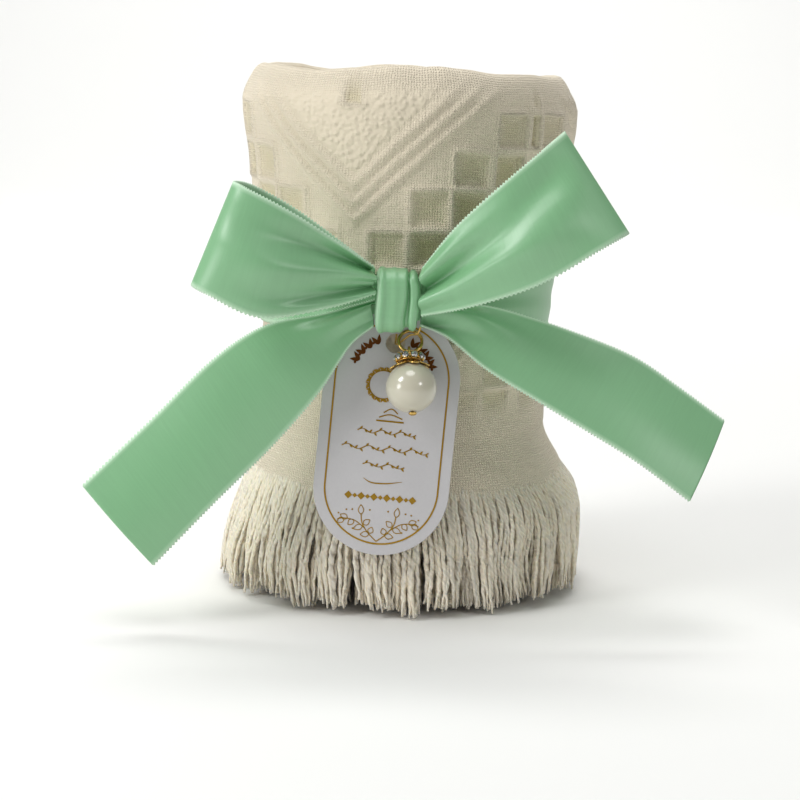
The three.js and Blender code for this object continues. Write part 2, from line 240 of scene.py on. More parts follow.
def jacquard_cotton(settings):
    """Bleached cotton jacquard: soft and fuzzy, with granular weave, and painted shade down in the woven
    squares.
    """
    made, tree, shader = material("jacquard_cotton", {
        "Roughness": 0.95, "Sheen Weight": 0.25, "Sheen Roughness": 0.6, "Specular IOR Level": 0.2})
    uv = node(tree, "ShaderNodeUVMap", uv_map="cloth")
    hollow = node(tree, "ShaderNodeAttribute", out="Fac", attribute_name="hollow")
    grain = node(tree, "ShaderNodeAttribute", out="Fac", attribute_name="grain")
    cloudy = node(tree, "ShaderNodeTexNoise", {"Vector": uv, "Scale": 45, "Detail": 3}, "Fac")
    cloth = node(tree, "ShaderNodeMix", {
        "Factor": cloudy, "A": rgba(settings.cotton), "B": rgba(settings.cotton, 0.86)},
        "Result", data_type="RGBA")
    # Painted shade down in the woven squares, where the hollow attribute is high.
    tone = node(tree, "ShaderNodeMix", {
        "Factor": hollow, "A": cloth, "B": rgba(settings.painted_hollow_shade)}, "Result", data_type="RGBA")
    # Rice-grain weave about 1.15 mm across, strongest in the figured ground.
    seeds = node(tree, "ShaderNodeTexVoronoi", {
        "Vector": uv, "Scale": 1 / (1.15 * MM), "Randomness": 0.8}, "Distance", feature="SMOOTH_F1")
    # Warp and weft of the plain ground.
    threads = []
    for period, direction in ((0.62 * MM, "X"), (0.55 * MM, "Y")):
        threads.append(node(tree, "ShaderNodeTexWave", {
            "Vector": uv, "Scale": wave_scale(period), "Distortion": 3.5, "Detail": 1,
            "Detail Scale": 1.5}, "Fac", bands_direction=direction))
    crossed = node(tree, "ShaderNodeMath", {0: threads[0], 1: threads[1]}, operation="MULTIPLY")
    plain = node(tree, "ShaderNodeMath", {0: crossed, 1: 0.4}, operation="MULTIPLY")
    seeded = node(tree, "ShaderNodeMath", {0: 1.0, 1: seeds}, operation="SUBTRACT")
    height = node(tree, "ShaderNodeMix", {"Factor": grain, "A": plain, "B": seeded},
                  "Result", data_type="FLOAT")
    fuzz = node(tree, "ShaderNodeTexNoise", {"Vector": uv, "Scale": 2600, "Detail": 3}, "Fac")
    fine = node(tree, "ShaderNodeBump", {"Strength": 0.35, "Distance": 0.25 * MM, "Height": fuzz})
    bump = node(tree, "ShaderNodeBump", {
        "Strength": 0.9, "Distance": 0.8 * MM, "Height": height, "Normal": fine})
    connect(tree, shader, {"Base Color": tone, "Normal": bump})
    return made


def fringe_yarn(settings):
    """Loose two-ply cotton yarn: matte and twisted, each yarn a little lighter or darker at random, with
    painted shade on the innermost yarns.
    """
    made, tree, shader = material("two_ply_cotton_yarn", {
        "Roughness": 1.0, "Sheen Weight": 0.3, "Sheen Roughness": 0.6, "Specular IOR Level": 0.15,
        "Subsurface Weight": 0.25, "Subsurface Radius": (0.002, 0.0014, 0.0009), "Subsurface Scale": 0.8})
    uv = node(tree, "ShaderNodeUVMap", uv_map="yarn")
    shade = node(tree, "ShaderNodeAttribute", out="Fac", attribute_name="shade")
    # The shade attribute mixes a random tone for each yarn with painted shade on the inner yarns.
    tone = node(tree, "ShaderNodeMix", {
        "Factor": shade, "A": rgba(settings.yarn), "B": rgba(settings.yarn, 0.95, 0.9, 0.82)},
        "Result", data_type="RGBA")
    # The plies cross the yarn every 1.3 mm.
    twist = node(tree, "ShaderNodeTexWave", {
        "Vector": uv, "Scale": wave_scale(1.3 * MM), "Distortion": 2, "Detail": 2},
        "Fac", bands_direction="DIAGONAL")
    bump = node(tree, "ShaderNodeBump", {"Strength": 1.0, "Distance": 0.5 * MM, "Height": twist})
    connect(tree, shader, {"Base Color": tone, "Normal": bump})
    return made


def polyester_satin(settings):
    """Single-faced polyester satin: long glossy floats across the width, a matte looped selvage."""
    made, tree, shader = material("polyester_satin", {
        "Anisotropic": 0.6, "Specular IOR Level": 0.85, "Sheen Weight": 0.15, "Sheen Roughness": 0.35,
        "Sheen Tint": rgba(settings.selvage)})
    uv = node(tree, "ShaderNodeUVMap", uv_map="ribbon")
    edge = node(tree, "ShaderNodeAttribute", out="Fac", attribute_name="selvage")
    deep = node(tree, "ShaderNodeAttribute", out="Fac", attribute_name="deep")
    stretched = node(tree, "ShaderNodeMapping", {"Vector": uv, "Scale": (1500, 90, 1)})
    floats = node(tree, "ShaderNodeTexNoise", {"Vector": stretched, "Scale": 1, "Detail": 2}, "Fac")
    # Uneven floats, then the fold's shadow, then the pale selvage, each laid over the last.
    tone = rgba(settings.satin)
    for factor, colour in ((floats, rgba(settings.satin, 0.9)),
                           (deep, rgba(settings.satin, 0.3, 0.62, 0.36)),
                           (edge, rgba(settings.selvage))):
        tone = node(tree, "ShaderNodeMix", {"Factor": factor, "A": tone, "B": colour},
                    "Result", data_type="RGBA")
    rough = node(tree, "ShaderNodeMapRange", {"Value": edge, "To Min": 0.35, "To Max": 0.7})
    tangent = node(tree, "ShaderNodeTangent", direction_type="UV_MAP", uv_map="ribbon")
    bump = node(tree, "ShaderNodeBump", {"Strength": 0.5, "Distance": 0.06 * MM, "Height": floats})
    connect(tree, shader, {"Base Color": tone, "Roughness": rough, "Tangent": tangent, "Normal": bump})
    return made


def mottled(name, base, size, detail, colour=None, share=1, roughness=None, bump=None):
    """A finish with a mottle of a size in metres, which may vary its colour, gloss and relief."""
    made, tree, shader = material(name, base)
    place = node(tree, "ShaderNodeTexCoord", out="Object")
    mottle = node(tree, "ShaderNodeTexNoise", {"Vector": place, "Scale": 1 / size, "Detail": detail}, "Fac")
    if colour:
        tone = node(tree, "ShaderNodeMix", {
            "Factor": mottle, "A": rgba(colour), "B": rgba(colour, share)}, "Result", data_type="RGBA")
        connect(tree, shader, {"Base Color": tone})
    if roughness:
        low, high = roughness
        rough = node(tree, "ShaderNodeMapRange", {"Value": mottle, "To Min": low, "To Max": high})
        connect(tree, shader, {"Roughness": rough})
    if bump:
        strength, depth = bump
        relief = node(tree, "ShaderNodeBump", {"Strength": strength, "Distance": depth, "Height": mottle})
        connect(tree, shader, {"Normal": relief})
    return made


def uncoated_card(settings):
    """Smooth uncoated art card: matte, with a faint fibre mottle, its white greyed with painted shade."""
    return mottled("uncoated_card", {"Roughness": 0.62, "Specular IOR Level": 0.35}, 0.6 * MM, 4,
                   settings.card, 0.93, bump=(0.15, 0.05 * MM))


def stamped_foil(name, colour):
    """Hot-stamped foil: thin metal film over card, slightly uneven."""
    return mottled(name, {"Metallic": 1.0}, 1.2 * MM, 3, colour, 0.72, roughness=(0.22, 0.42))


def plated_alloy(settings):
    """Gold-plated zinc alloy: bright, with soft handling marks."""
    return mottled("gold_plated_alloy", {"Metallic": 1.0, "Base Color": rgba(settings.gold)},
                   0.9 * MM, 3, roughness=(0.14, 0.34), bump=(0.15, 0.03 * MM))


def painted_floor(settings):
    """Matte painted board, almost even in tone."""
    return mottled("matte_painted_board", {"Roughness": 0.9, "Specular IOR Level": 0.1}, 1 / 6, 2,
                   settings.floor, 0.99)


def coated_pearl(settings):
    """Moulded bead with nacre coating: cream, glossy clear coat over a soft glow."""
    made, tree, shader = material("nacre_coated_bead", {
        "Coat Weight": 1.0, "Coat Roughness": 0.06, "Coat IOR": 1.6, "Specular IOR Level": 0.6,
        "Sheen Weight": 0.3, "Sheen Roughness": 0.3, "Subsurface Weight": 0.1,
        "Subsurface Radius": (0.002, 0.002, 0.0016)})
    place = node(tree, "ShaderNodeTexCoord", out="Object")
    cloud = node(tree, "ShaderNodeTexNoise", {"Vector": place, "Scale": 1 / (4 * MM), "Detail": 2}, "Fac")
    rim = node(tree, "ShaderNodeLayerWeight", {"Blend": 0.35}, "Facing")
    shade = node(tree, "ShaderNodeMath", {0: cloud, 1: 0.25}, operation="MULTIPLY")
    tone = node(tree, "ShaderNodeMix", {
        "Factor": shade, "A": rgba(settings.pearl), "B": rgba(settings.pearl, 0.8)},
        "Result", data_type="RGBA")
    rough = node(tree, "ShaderNodeMapRange", {"Value": rim, "To Min": 0.28, "To Max": 0.42})
    connect(tree, shader, {"Base Color": tone, "Roughness": rough})
    return made


def cut_glass(settings):
    """Foil-backed cut glass stone: mirror-bright facets, with dark and light flashes painted into its colour
    as painted reflections.
    """
    made, tree, shader = material("foil_backed_glass", {
        "Roughness": 0.04, "Metallic": 0.85, "Coat Weight": 1.0, "Coat Roughness": 0.02, "Coat IOR": 1.6})
    place = node(tree, "ShaderNodeTexCoord", out="Object")
    facets = node(tree, "ShaderNodeTexVoronoi", {"Vector": place, "Scale": 1 / (0.45 * MM)}, "Distance")
    # Painted reflections: the colour runs from the stone's tint to near black across each cell.
    tone = node(tree, "ShaderNodeMix", {
        "Factor": facets, "A": rgba(settings.crystal), "B": (0.18, 0.18, 0.17, 1)},
        "Result", data_type="RGBA")
    connect(tree, shader, {"Base Color": tone})
    return made


def metallic_thread(settings):
    """Metallised gift cord: fine gold strip twisted round a core."""
    made, tree, shader = material("metallised_cord", {
        "Metallic": 0.9, "Base Color": rgba(settings.gold), "Roughness": 0.35})
    uv = node(tree, "ShaderNodeUVMap", uv_map="cord")
    twist = node(tree, "ShaderNodeTexWave", {"Vector": uv, "Scale": wave_scale(0.5 * MM)},
                 "Fac", bands_direction="DIAGONAL")
    bump = node(tree, "ShaderNodeBump", {"Strength": 0.9, "Distance": 0.08 * MM, "Height": twist})
    connect(tree, shader, {"Normal": bump})
    return made


# Shared mesh helpers

def new_object(name, bm, look, smooth=True, outward=True, thickness=0, offset=0):
    """Writes a bmesh to a new object at the origin, as a solid sheet where it has a thickness."""
    if outward:
        bmesh.ops.recalc_face_normals(bm, faces=bm.faces)
    mesh = bpy.data.meshes.new(name)
    bm.to_mesh(mesh)
    bm.free()
    if smooth:
        mesh.shade_smooth()
    mesh.materials.append(look)
    piece = bpy.data.objects.new(name, mesh)
    bpy.context.scene.collection.objects.link(piece)
    if thickness:
        solid = piece.modifiers.new("Solidify", "SOLIDIFY")
        solid.thickness = thickness
        solid.offset = offset
    return piece


def settle(piece, body, slot, *nodes):
    """Makes a finished piece ride on a body and stand for CAD nodes."""
    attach(piece, body)
    if nodes:
        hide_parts(*nodes)
    return piece


def smoothstep(low, high, value):
    t = min(1.0, max(0.0, (value - low) / (high - low)))
    return t * t * (3 - 2 * t)


def bell(middle, width, value):
    """1 at the middle, falling smoothly to 0 at width away."""
    return max(0.0, math.cos(min(1.0, abs(value - middle) / width) * math.pi / 2)) ** 2


def spline(points, u):
    """A smooth curve through points, with u from 0 to 1."""
    last = len(points) - 1
    at = min(max(u, 0.0), 1.0) * last
    i = min(int(at), last - 1)
    t = at - i
    b, c = points[i], points[i + 1]
    a = points[i - 1] if i else b + (b - c)
    d = points[i + 2] if i + 2 <= last else c + (c - b)
    return 0.5 * ((2 * b) + (c - a) * t + (2 * a - 5 * b + 4 * c - d) * t * t
                  + (3 * b - a - 3 * c + d) * t ** 3)


def millimetres(*rows):
    return [Vector(row) * MM for row in rows]


def grid(columns, rows, uv_name=None, uv_at=None, floats=()):
    """A flat grid of quads, the (column, row) of each vertex, and its attribute layers."""
    bm = bmesh.new()
    uv_layer = bm.loops.layers.uv.new(uv_name) if uv_name else None
    for name in floats:
        bm.verts.layers.float.new(name)
    bmesh.ops.create_grid(bm, x_segments=columns, y_segments=rows, size=0.5)
    low = Vector((min(v.co.x for v in bm.verts), min(v.co.y for v in bm.verts)))
    places = {}
    for v in bm.verts:
        places[v] = (round((v.co.x - low.x) * columns), round((v.co.y - low.y) * rows))
    if uv_name:
        for face in bm.faces:
            for loop in face.loops:
                loop[uv_layer].uv = uv_at(*places[loop.vert])
    return bm, places, [bm.verts.layers.float[name] for name in floats]


# Towel

FLARE_TOP = 43 * MM


def roll_radius(height, rightwards=0.0):
    """The roll's outside: a spread fringe, sharper on its right, a narrow neck, then wider again."""
    if height < FLARE_TOP:
        spread = smoothstep(FLARE_TOP, (13 + 8 * rightwards) * MM, height)
        return NECK_RADIUS + (BASE_RADIUS - 0.8 * MM - NECK_RADIUS) * spread
    rise = min(1.0, (height - NECK_HEIGHT) / (TOWEL_HIGH.z - STRIP - NECK_HEIGHT))
    # The ribbon draws the waist in at the sides.
    drawn_in = 2.7 * MM * rightwards ** 2 * bell(73 * MM, 36 * MM, height)
    return NECK_RADIUS + (TOP_RADIUS - NECK_RADIUS) * rise - drawn_in


def inward_step(turn):
    """Each turn keeps almost one radius and steps inwards behind the loose edge."""
    whole = math.floor(turn)
    part = (turn - whole) ** 3
    return whole + part - math.sin(FULL_TURN * part) / FULL_TURN


def middle_radius(turn):
    return OUTER_MIDDLE - TURN_PITCH * inward_step(turn)


def round_roll(turn, offset, height):
    """A point of the roll, offset outwards from the middle of the strip."""
    angle = OUTER_EDGE - FULL_TURN * turn
    # The hanging tag presses the fringe flatter in front.
    front = bell(0, 0.8, math.remainder(angle + math.pi / 2, FULL_TURN))
    pressed = 2.9 * MM * front * smoothstep(36 * MM, 24 * MM, height) * smoothstep(1 * MM, 14 * MM, height)
    outside = roll_radius(height, math.cos(angle)) - pressed
    radius = (middle_radius(turn) + offset) * outside / TOP_RADIUS
    return Vector((radius * math.cos(angle), radius * math.sin(angle), height))


def arc_table():
    """Length of the strip's middle at small steps of turn."""
    steps = 1800
    table = [0.0]
    for i in range(steps):
        table.append(table[-1] + FULL_TURN * TURNS / steps * middle_radius(TURNS * (i + 0.5) / steps))
    return table


ARC = arc_table()
TOWEL_LENGTH = ARC[-1]


def arc_at(turn):
    at = min(max(turn / TURNS, 0.0), 1.0) * (len(ARC) - 1)
    i = min(int(at), len(ARC) - 2)
    return ARC[i] + (ARC[i + 1] - ARC[i]) * (at - i)


FRONT_TURN = 0.375                # the turn at which the strip faces the bow
PATTERN_REPEAT = 6                # rows between one arm of the pattern and the next
PATTERN_WIDE = 9                  # squares from one V to the next
PATTERN_ASIDE = 12.1 * MM         # the V's point lies left of the bow
PATTERN_FOOT = 74.2 * MM          # height of the V's point


def woven_pattern(arc, height, cell):
    """Relief from -1 to 1, how much painted shade falls in its hollow, and how grainy its weave is."""
    across = arc - arc_at(FRONT_TURN) - PATTERN_ASIDE
    wide = PATTERN_WIDE * cell
    folded = abs((across + wide / 2) % wide - wide / 2) / cell + 0.7
    level = (height - PATTERN_FOOT) / cell
    column, row = math.floor(folded), math.floor(level)
    step = (column - row) % PATTERN_REPEAT
    if step in (0, 1):
        side = 2 * max(abs(folded - column - 0.5), abs(level - row - 0.5))
        frame_line = smoothstep(0.74, 0.83, side)
        well = smoothstep(0.5, 0.4, side)
        shallow = 0.55 if step == 0 else 1.0
        relief = frame_line * 0.75 - (1 - frame_line) * 0.85 * shallow - 0.35 * well
        # The second value is painted shade, deepest in the square's well.
        return relief, (1 - frame_line) * (0.6 + 0.4 * well) * shallow, 0.3
    phase = (level - folded) % PATTERN_REPEAT
    ridge = sum(bell(middle, 0.21, phase) for middle in (1.46, 1.9, 2.34))
    seeds = smoothstep(2.5, 2.8, phase) * smoothstep(5.6, 5.0, phase)
    return 0.95 * ridge + 0.2 * seeds, 0.0, 0.45 + 0.55 * seeds


def towel_section(leaf, top, fine, coarse):
    """The folded cloth's outline: (offset, height, share of relief), round both its faces."""
    outer = STRIP / 2
    bottom = TOWEL_LOW.z
    shoulder = top - 8.5 * MM
    inner_shoulder = top - 4 * MM
    peak = -0.6 * MM
    rows = []
    count = math.ceil((shoulder - bottom) / fine)
    for i in range(count):
        rows.append((outer, bottom + (shoulder - bottom) * i / count, 1.0))
    for i in range(12):
        angle = math.pi / 2 * i / 12
        rows.append((peak + (outer - peak) * math.cos(angle), shoulder + (top - shoulder) * math.sin(angle),
                     1 - i / 12))
    for i in range(7):
        angle = math.pi / 2 * (1 - i / 7)
        rows.append((peak - (outer + peak) * math.cos(angle),
                     inner_shoulder + (top - inner_shoulder) * math.sin(angle), 0.0))
    count = math.ceil((inner_shoulder - bottom) / coarse)
    rows += [(-outer, inner_shoulder + (bottom - inner_shoulder) * i / count, 0.0) for i in range(count)]
    inside = outer - leaf
    rows += [(-outer, bottom, 0.0), (-outer + leaf / 2, bottom - 0.5 * MM, 0.0), (-inside, bottom, 0.0)]
    arch_foot = inner_shoulder - leaf / 2
    rows += [(-inside, bottom + (arch_foot - bottom) * i / count, 0.0) for i in range(1, count)]
    arch = top - leaf
    for i in range(7):
        angle = math.pi * (1 - i / 6)
        rows.append((inside * math.cos(angle), arch_foot + (arch - arch_foot) * math.sin(angle), 0.0))
    rows += [(inside, arch_foot + (bottom - arch_foot) * i / count, 0.0) for i in range(1, count)]
    rows += [(inside, bottom, 0.0), (outer - leaf / 2, bottom - 0.5 * MM, 0.0)]
    return rows


def towel_turns(fine, coarse):
    """Where the cloth's columns stand along the strip: close on the outside turn, wider inside."""
    turns = []
    turn = 0.0
    while turn < TURNS - 0.002:
        turns.append(turn)
        spacing = fine if turn < 1.03 else coarse
        turn += spacing / (FULL_TURN * max(middle_radius(turn), 8 * MM))
    turns.append(TURNS)
    return turns


def lumps(arc, height, layer, size):
    """Smooth unevenness of the cloth, its size in metres; each layer has its own."""
    return noise.noise(Vector((arc, height, layer)) / size)


def build_towel(settings, look):
    fine = 0.82 * MM
    turns = towel_turns(fine, 4.2 * MM)
    section = towel_section(settings.leaf, TOWEL_HIGH.z - 1.2 * MM, fine, 9 * MM)
    arcs = [arc_at(t) for t in turns]
    bm, places, (hollow, grain) = grid(
        len(turns) - 1, len(section), "cloth", lambda c, r: (arcs[c], section[r % len(section)][1]),
        ("hollow", "grain"))
    for v, (c, r) in places.items():
        offset, height, share = section[r % len(section)]
        turn, arc = turns[c], arcs[c]
        relief, deep, grainy = 0, 0, 0.4
        if share and turn < 1.1:
            relief, deep, grainy = woven_pattern(arc, height, settings.cell)
        # The weave flattens near the hems, near the fold and low down, where the cloth is plain.
        figured = share * smoothstep(46 * MM, 58 * MM, height) * smoothstep(0.0, 0.03, turn)
        figured *= smoothstep(TOWEL_HIGH.z - 2 * MM, TOWEL_HIGH.z - 9 * MM, height)
        # The hollow attribute carries painted shade into the squares.
        v[hollow] = deep * figured
        v[grain] = grainy * figured if share else 0.3
        rise = smoothstep(70 * MM, TOWEL_HIGH.z, height)
        aside = round_roll(turn, 0, height).x
        wander = 1.5 * bell(-1 * MM, 24 * MM, aside) + 1.3 * bell(-36 * MM, 15 * MM, aside)
        wander += 0.7 * lumps(arc, 0, 7, 15 * MM) + 0.4 * lumps(arc, 0, 3, 6 * MM)
        wander -= 0.9 * smoothstep(0.9, 1.3, turn) + 0.5 * smoothstep(8 * MM, 38 * MM, aside)
        lifted = height + rise * wander * MM
        soft = lumps(arc, height, 11, 16 * MM) * 0.55 * MM * smoothstep(0, 0.4, share)
        lip = bell(TOWEL_HIGH.z - 13 * MM, 14 * MM, height) * share * 0.9 * MM
        edge_ease = 1 - 0.25 * smoothstep(0.012, 0.0, turn)
        if share:
            edge_ease -= 0.2 * smoothstep(TOWEL_LOW.z + 6 * MM, TOWEL_LOW.z, height)
            hem = smoothstep(TOWEL_LOW.z + 3 * MM, TOWEL_LOW.z, height)
            lifted += hem * 0.9 * MM * lumps(arc, 0, 5, 2.1 * MM)
        stand_off = offset * edge_ease + relief * figured * settings.relief + soft + lip
        v.co = round_roll(turn, stand_off, lifted)
    bmesh.ops.remove_doubles(bm, verts=bm.verts, dist=0.01 * MM)
    ends = [e for e in bm.edges if e.is_boundary]
    bmesh.ops.holes_fill(bm, edges=ends, sides=0)
    return new_object("towel_body", bm, look)


def yarn_template(sides, rings):
    """A closed tube whose rings stand at heights 0, 1, 2 and so on."""
    bm = bmesh.new()
    bmesh.ops.create_circle(bm, cap_ends=True, segments=sides, radius=1)
    edge = bm.edges[:]
    for _ in range(rings):
        made = bmesh.ops.extrude_edge_only(bm, edges=edge)
        moved = [g for g in made["geom"] if isinstance(g, bmesh.types.BMVert)]
        edge = [g for g in made["geom"] if isinstance(g, bmesh.types.BMEdge)]
        edge = [e for e in edge if all(v in set(moved) for v in e.verts)]
        bmesh.ops.translate(bm, verts=moved, vec=(0, 0, 1))
    bmesh.ops.contextual_create(bm, geom=edge)
    bmesh.ops.recalc_face_normals(bm, faces=bm.faces)
    mesh = bpy.data.meshes.new("yarn_template")
    bm.to_mesh(mesh)
    bm.free()
    return mesh


def build_fringe(name, settings, look, inner, outer, seed):
    """One leaf's fringe: yarns in tufts that spread outwards and end unevenly."""
    rng = random.Random(seed)
    rings = 15
    template = yarn_template(5, rings)
    corners = len(template.vertices)
    bm = bmesh.new()
    uv = bm.loops.layers.uv.new("yarn")
    shade = bm.verts.layers.float.new("shade")
    root = TOWEL_LOW.z + 3 * MM
    tuft = 7.5 * MM
    arc = 0.6 * MM
    tuft_facts = {}
    outside_turns = 1.04
    while arc < TOWEL_LENGTH - 0.5 * MM:
        first_turn = turn_at(arc) < outside_turns
        for depth in ((0.18, 0.5, 0.82) if first_turn else (0.5,)):
            start = arc + rng.uniform(-0.25, 0.25) * MM
            group = math.floor(start / tuft + 0.35 * math.sin(start / (3.1 * tuft)))
            if group not in tuft_facts:
                tuft_facts[group] = (
                    rng.uniform(-1.8, 1.8) * MM, rng.uniform(0.05, 0.32), rng.uniform(0, 1.8) * MM,
                    rng.uniform(-1.3, 1.0) * MM, rng.uniform(0, FULL_TURN))
            drift, gather, short, bulge, tuft_wave = tuft_facts[group]
            centre = (group + 0.5) * tuft + drift
            aside = min(1.0, abs(start - centre) / (tuft / 2))
            spread = rng.uniform(-0.7, 0.7) * MM
            tip = 0.2 * MM + short + rng.uniform(0, 1.3) * MM + 1.5 * MM * aside ** 2
            offset = inner + (outer - inner) * depth
            wave = rng.uniform(0, FULL_TURN)
            width = settings.yarn_width * rng.uniform(0.42, 0.58)
            # A random tone for each yarn, plus painted shade on the innermost layer.
            tone = rng.uniform(0, 0.4) + (0.2 if depth < 0.3 else 0)
            bm.from_mesh(template)
            bm.verts.ensure_lookup_table()
            fresh = bm.verts[len(bm.verts) - corners:]
            axis_points = []
            for ring in range(rings + 1):
                down = ring / rings
                height = root + (tip - root) * down
                pull = gather * smoothstep(0.1, 0.95, down)
                along = start + (centre - start) * pull + spread * down
                along += 0.3 * MM * math.sin(wave + 9 * down) * smoothstep(0, 0.3, down)
                along += 0.16 * MM * math.sin(2.3 * wave + 37 * down) * smoothstep(0, 0.3, down)
                along += 0.8 * MM * math.sin(tuft_wave + 3.6 * down) * down
                away = offset + bulge * bell(0.7, 0.6, down)
                away += 0.4 * MM * math.cos(wave + 6.1 * down) * down
                crown = math.cos(FULL_TURN * (start - centre) / tuft)
                away += 0.65 * MM * crown * smoothstep(0.1, 0.8, down)
                away -= 0.75 * MM * smoothstep(0.2, 0.0, down)
                axis_points.append(round_roll(turn_at(along), away, max(height, 0.2 * MM)))
            for v in fresh:
                ring = round(v.co.z)
                here = axis_points[ring]
                ahead = axis_points[min(ring + 1, rings)] - axis_points[max(ring - 1, 0)]
                outward = Vector((here.x, here.y, 0)).normalized()
                side = ahead.cross(outward).normalized()
                front = side.cross(ahead).normalized()
                thin = 1 - 0.55 * smoothstep(0.75, 1.0, ring / rings)
                around = math.atan2(v.co.y, v.co.x)
                v[shade] = tone
                v.co = here + (side * math.cos(around) + front * math.sin(around)) * width * thin
                v.co.z = max(v.co.z, 0.05 * MM)
        arc += settings.yarn_step if first_turn else 1.8 * settings.yarn_step
    for face in bm.faces:
        for loop in face.loops:
            loop[uv].uv = (math.atan2(loop.vert.co.y, loop.vert.co.x) * BASE_RADIUS, loop.vert.co.z)
    bpy.data.meshes.remove(template)
    return new_object(name, bm, look, outward=False)


def turn_at(arc):
    """The turn at a length along the strip."""
    arc = min(max(arc, 0.0), TOWEL_LENGTH)
    low, high = 0, len(ARC) - 1
    while high - low > 1:
        half = (low + high) // 2
        if ARC[half] <= arc:
            low = half
        else:
            high = half
    return TURNS * (low + (arc - ARC[low]) / (ARC[high] - ARC[low])) / (len(ARC) - 1)


# Ribbon

def picot_columns(length, settings):
    step = settings.picot_step * 0.5
    return 2 * math.ceil(length / (2 * step))


def ribbon_strip(name, settings, look, upper, lower, shape, deep=None, rows=30):
    """A length of ribbon between two edge curves, given from the knot outwards.

    shape(u, v) says how far the cloth stands off the straight lines between the edges."""
    samples = 60
    stations = [spline(upper, i / samples) for i in range(samples + 1)]
    length = sum((b - a).length for a, b in zip(stations, stations[1:]))
    columns = picot_columns(length, settings)
    width = settings.width
    bm, places, (selvage, dark) = grid(
        columns, rows, "ribbon", lambda c, r: (c / columns * length, r / rows * width), ("selvage", "deep"))
    lines = []
    for c in range(columns + 1):
        u = c / columns
        high, low = spline(upper, u), spline(lower, u)
        ahead = spline(upper, u + 0.01) - spline(upper, u - 0.01)
        ahead += spline(lower, u + 0.01) - spline(lower, u - 0.01)
        lines.append((u, high, low, ahead.cross(high - low).normalized()))
    for v, (c, r) in places.items():
        u, high, low, face = lines[c]
        down = (1 - math.cos(math.pi * r / rows)) / 2 * 0.35 + (r / rows) * 0.65
        point = high.lerp(low, down) + face * shape(u, down)
        if r in (0, rows):
            outwards = (high - low).normalized() * (1 if r == 0 else -1)
            point += outwards * settings.picot * (1 if c % 2 else -0.3)
        v.co = point
        v[selvage] = 1.0 if r in (0, rows) else 0.35 if r in (1, rows - 1) else 0.0
        # deep gives painted shadow along the folds.
        v[dark] = deep(u, down) if deep else 0.0
    return new_object(name, bm, look, thickness=settings.thickness), length


def from_knot(rows):
    return [KNOT + Vector(row) * MM for row in rows]


ROOT = KNOT_SIZE.x / 2 / MM + 0.6    # a root's distance from the knot's centre, in millimetres
BEND_LENGTH = 9 * MM                 # loops and tails bend over this length beside the knot


def left_loop(settings, look):
    """Out from the back of the knot, round its end, and back to the front."""
    upper = from_knot([
        (-ROOT, 3.5, 7), (-15, 3, 14), (-25, 1, 21), (-34, -3, 26), (-38, -8, 27),
        (-35, -12, 26), (-25, -12, 21), (-14, -8, 14), (-ROOT, -4, 8)])
    lower = from_knot([
        (-ROOT, 3.5, 2), (-16, 2, 1), (-30, -1, 2), (-42, -5, 3), (-47, -11, 4),
        (-43, -15, 2), (-31, -14, -3), (-16, -8, -1), (-ROOT, -4, 2)])

    def shape(u, v):
        near = smoothstep(0.62, 1.0, u)
        far = bell(0.78, 0.26, u)
        fold = 1.9 * bell(0.5 - 0.12 * near, 0.2 + 0.08 * far, v) * near
        valley = -2.6 * bell(0.18, 0.24, v) * near - 1.7 * bell(0.78, 0.16, v) * near
        crease = 1.2 * bell(0.95, 0.14, v) * near
        belly = 2.1 * math.sin(math.pi * v) * bell(0.72, 0.22, u)
        hollow = -1.5 * bell(0.3, 0.26, v) * far
        back = -1.4 * math.sin(math.pi * v) * bell(0.2, 0.22, u)
        return (fold + valley + crease + belly + hollow + back) * MM

    # Painted shadow in the folds beside the knot.
    def deep(u, v):
        return 0.8 * smoothstep(0.84, 1.0, u) * (bell(0.2, 0.24, v) + 0.6 * bell(0.78, 0.15, v))

    return ribbon_strip("bow_loop_left", settings, look, upper, lower, shape, deep)


def right_loop(settings, look):
    upper = from_knot([
        (ROOT, 3.5, 7), (14, 2.5, 17), (25, 0, 28), (34, -4, 37), (37, -8, 40),
        (32, -11, 36), (23, -11, 28), (13, -8, 18), (ROOT, -4.5, 8)])
    lower = from_knot([
        (ROOT, 3.5, 1), (19, 2, 2), (33, -1, 8), (46, -5, 15), (52, -11, 18),
        (45, -15, 14), (32, -14, 6), (17, -9, 0), (ROOT, -4.5, -3)])

    def shape(u, v):
        near = smoothstep(0.6, 1.0, u)
        mid = bell(0.76, 0.2, u)
        ridge = 1.6 * bell(0.2, 0.2, v) * near
        valley = -2.3 * bell(0.47, 0.2, v) * smoothstep(0.66, 0.95, u)
        flap = 1.9 * bell(0.72, 0.2, v) * smoothstep(0.8, 1.0, u)
        belly = 3.0 * bell(0.62, 0.4, v) * mid
        dent = -1.3 * bell(0.25, 0.25, v) * bell(0.66, 0.12, u)
        back = -1.4 * math.sin(math.pi * v) * bell(0.2, 0.22, u)
        return -(ridge + valley + flap + belly + dent + back) * MM

    # Painted shadow in the folds beside the knot.
    def deep(u, v):
        return 0.7 * smoothstep(0.86, 1.0, u) * bell(0.47, 0.16, v)

    return ribbon_strip("bow_loop_right", settings, look, upper, lower, shape, deep)


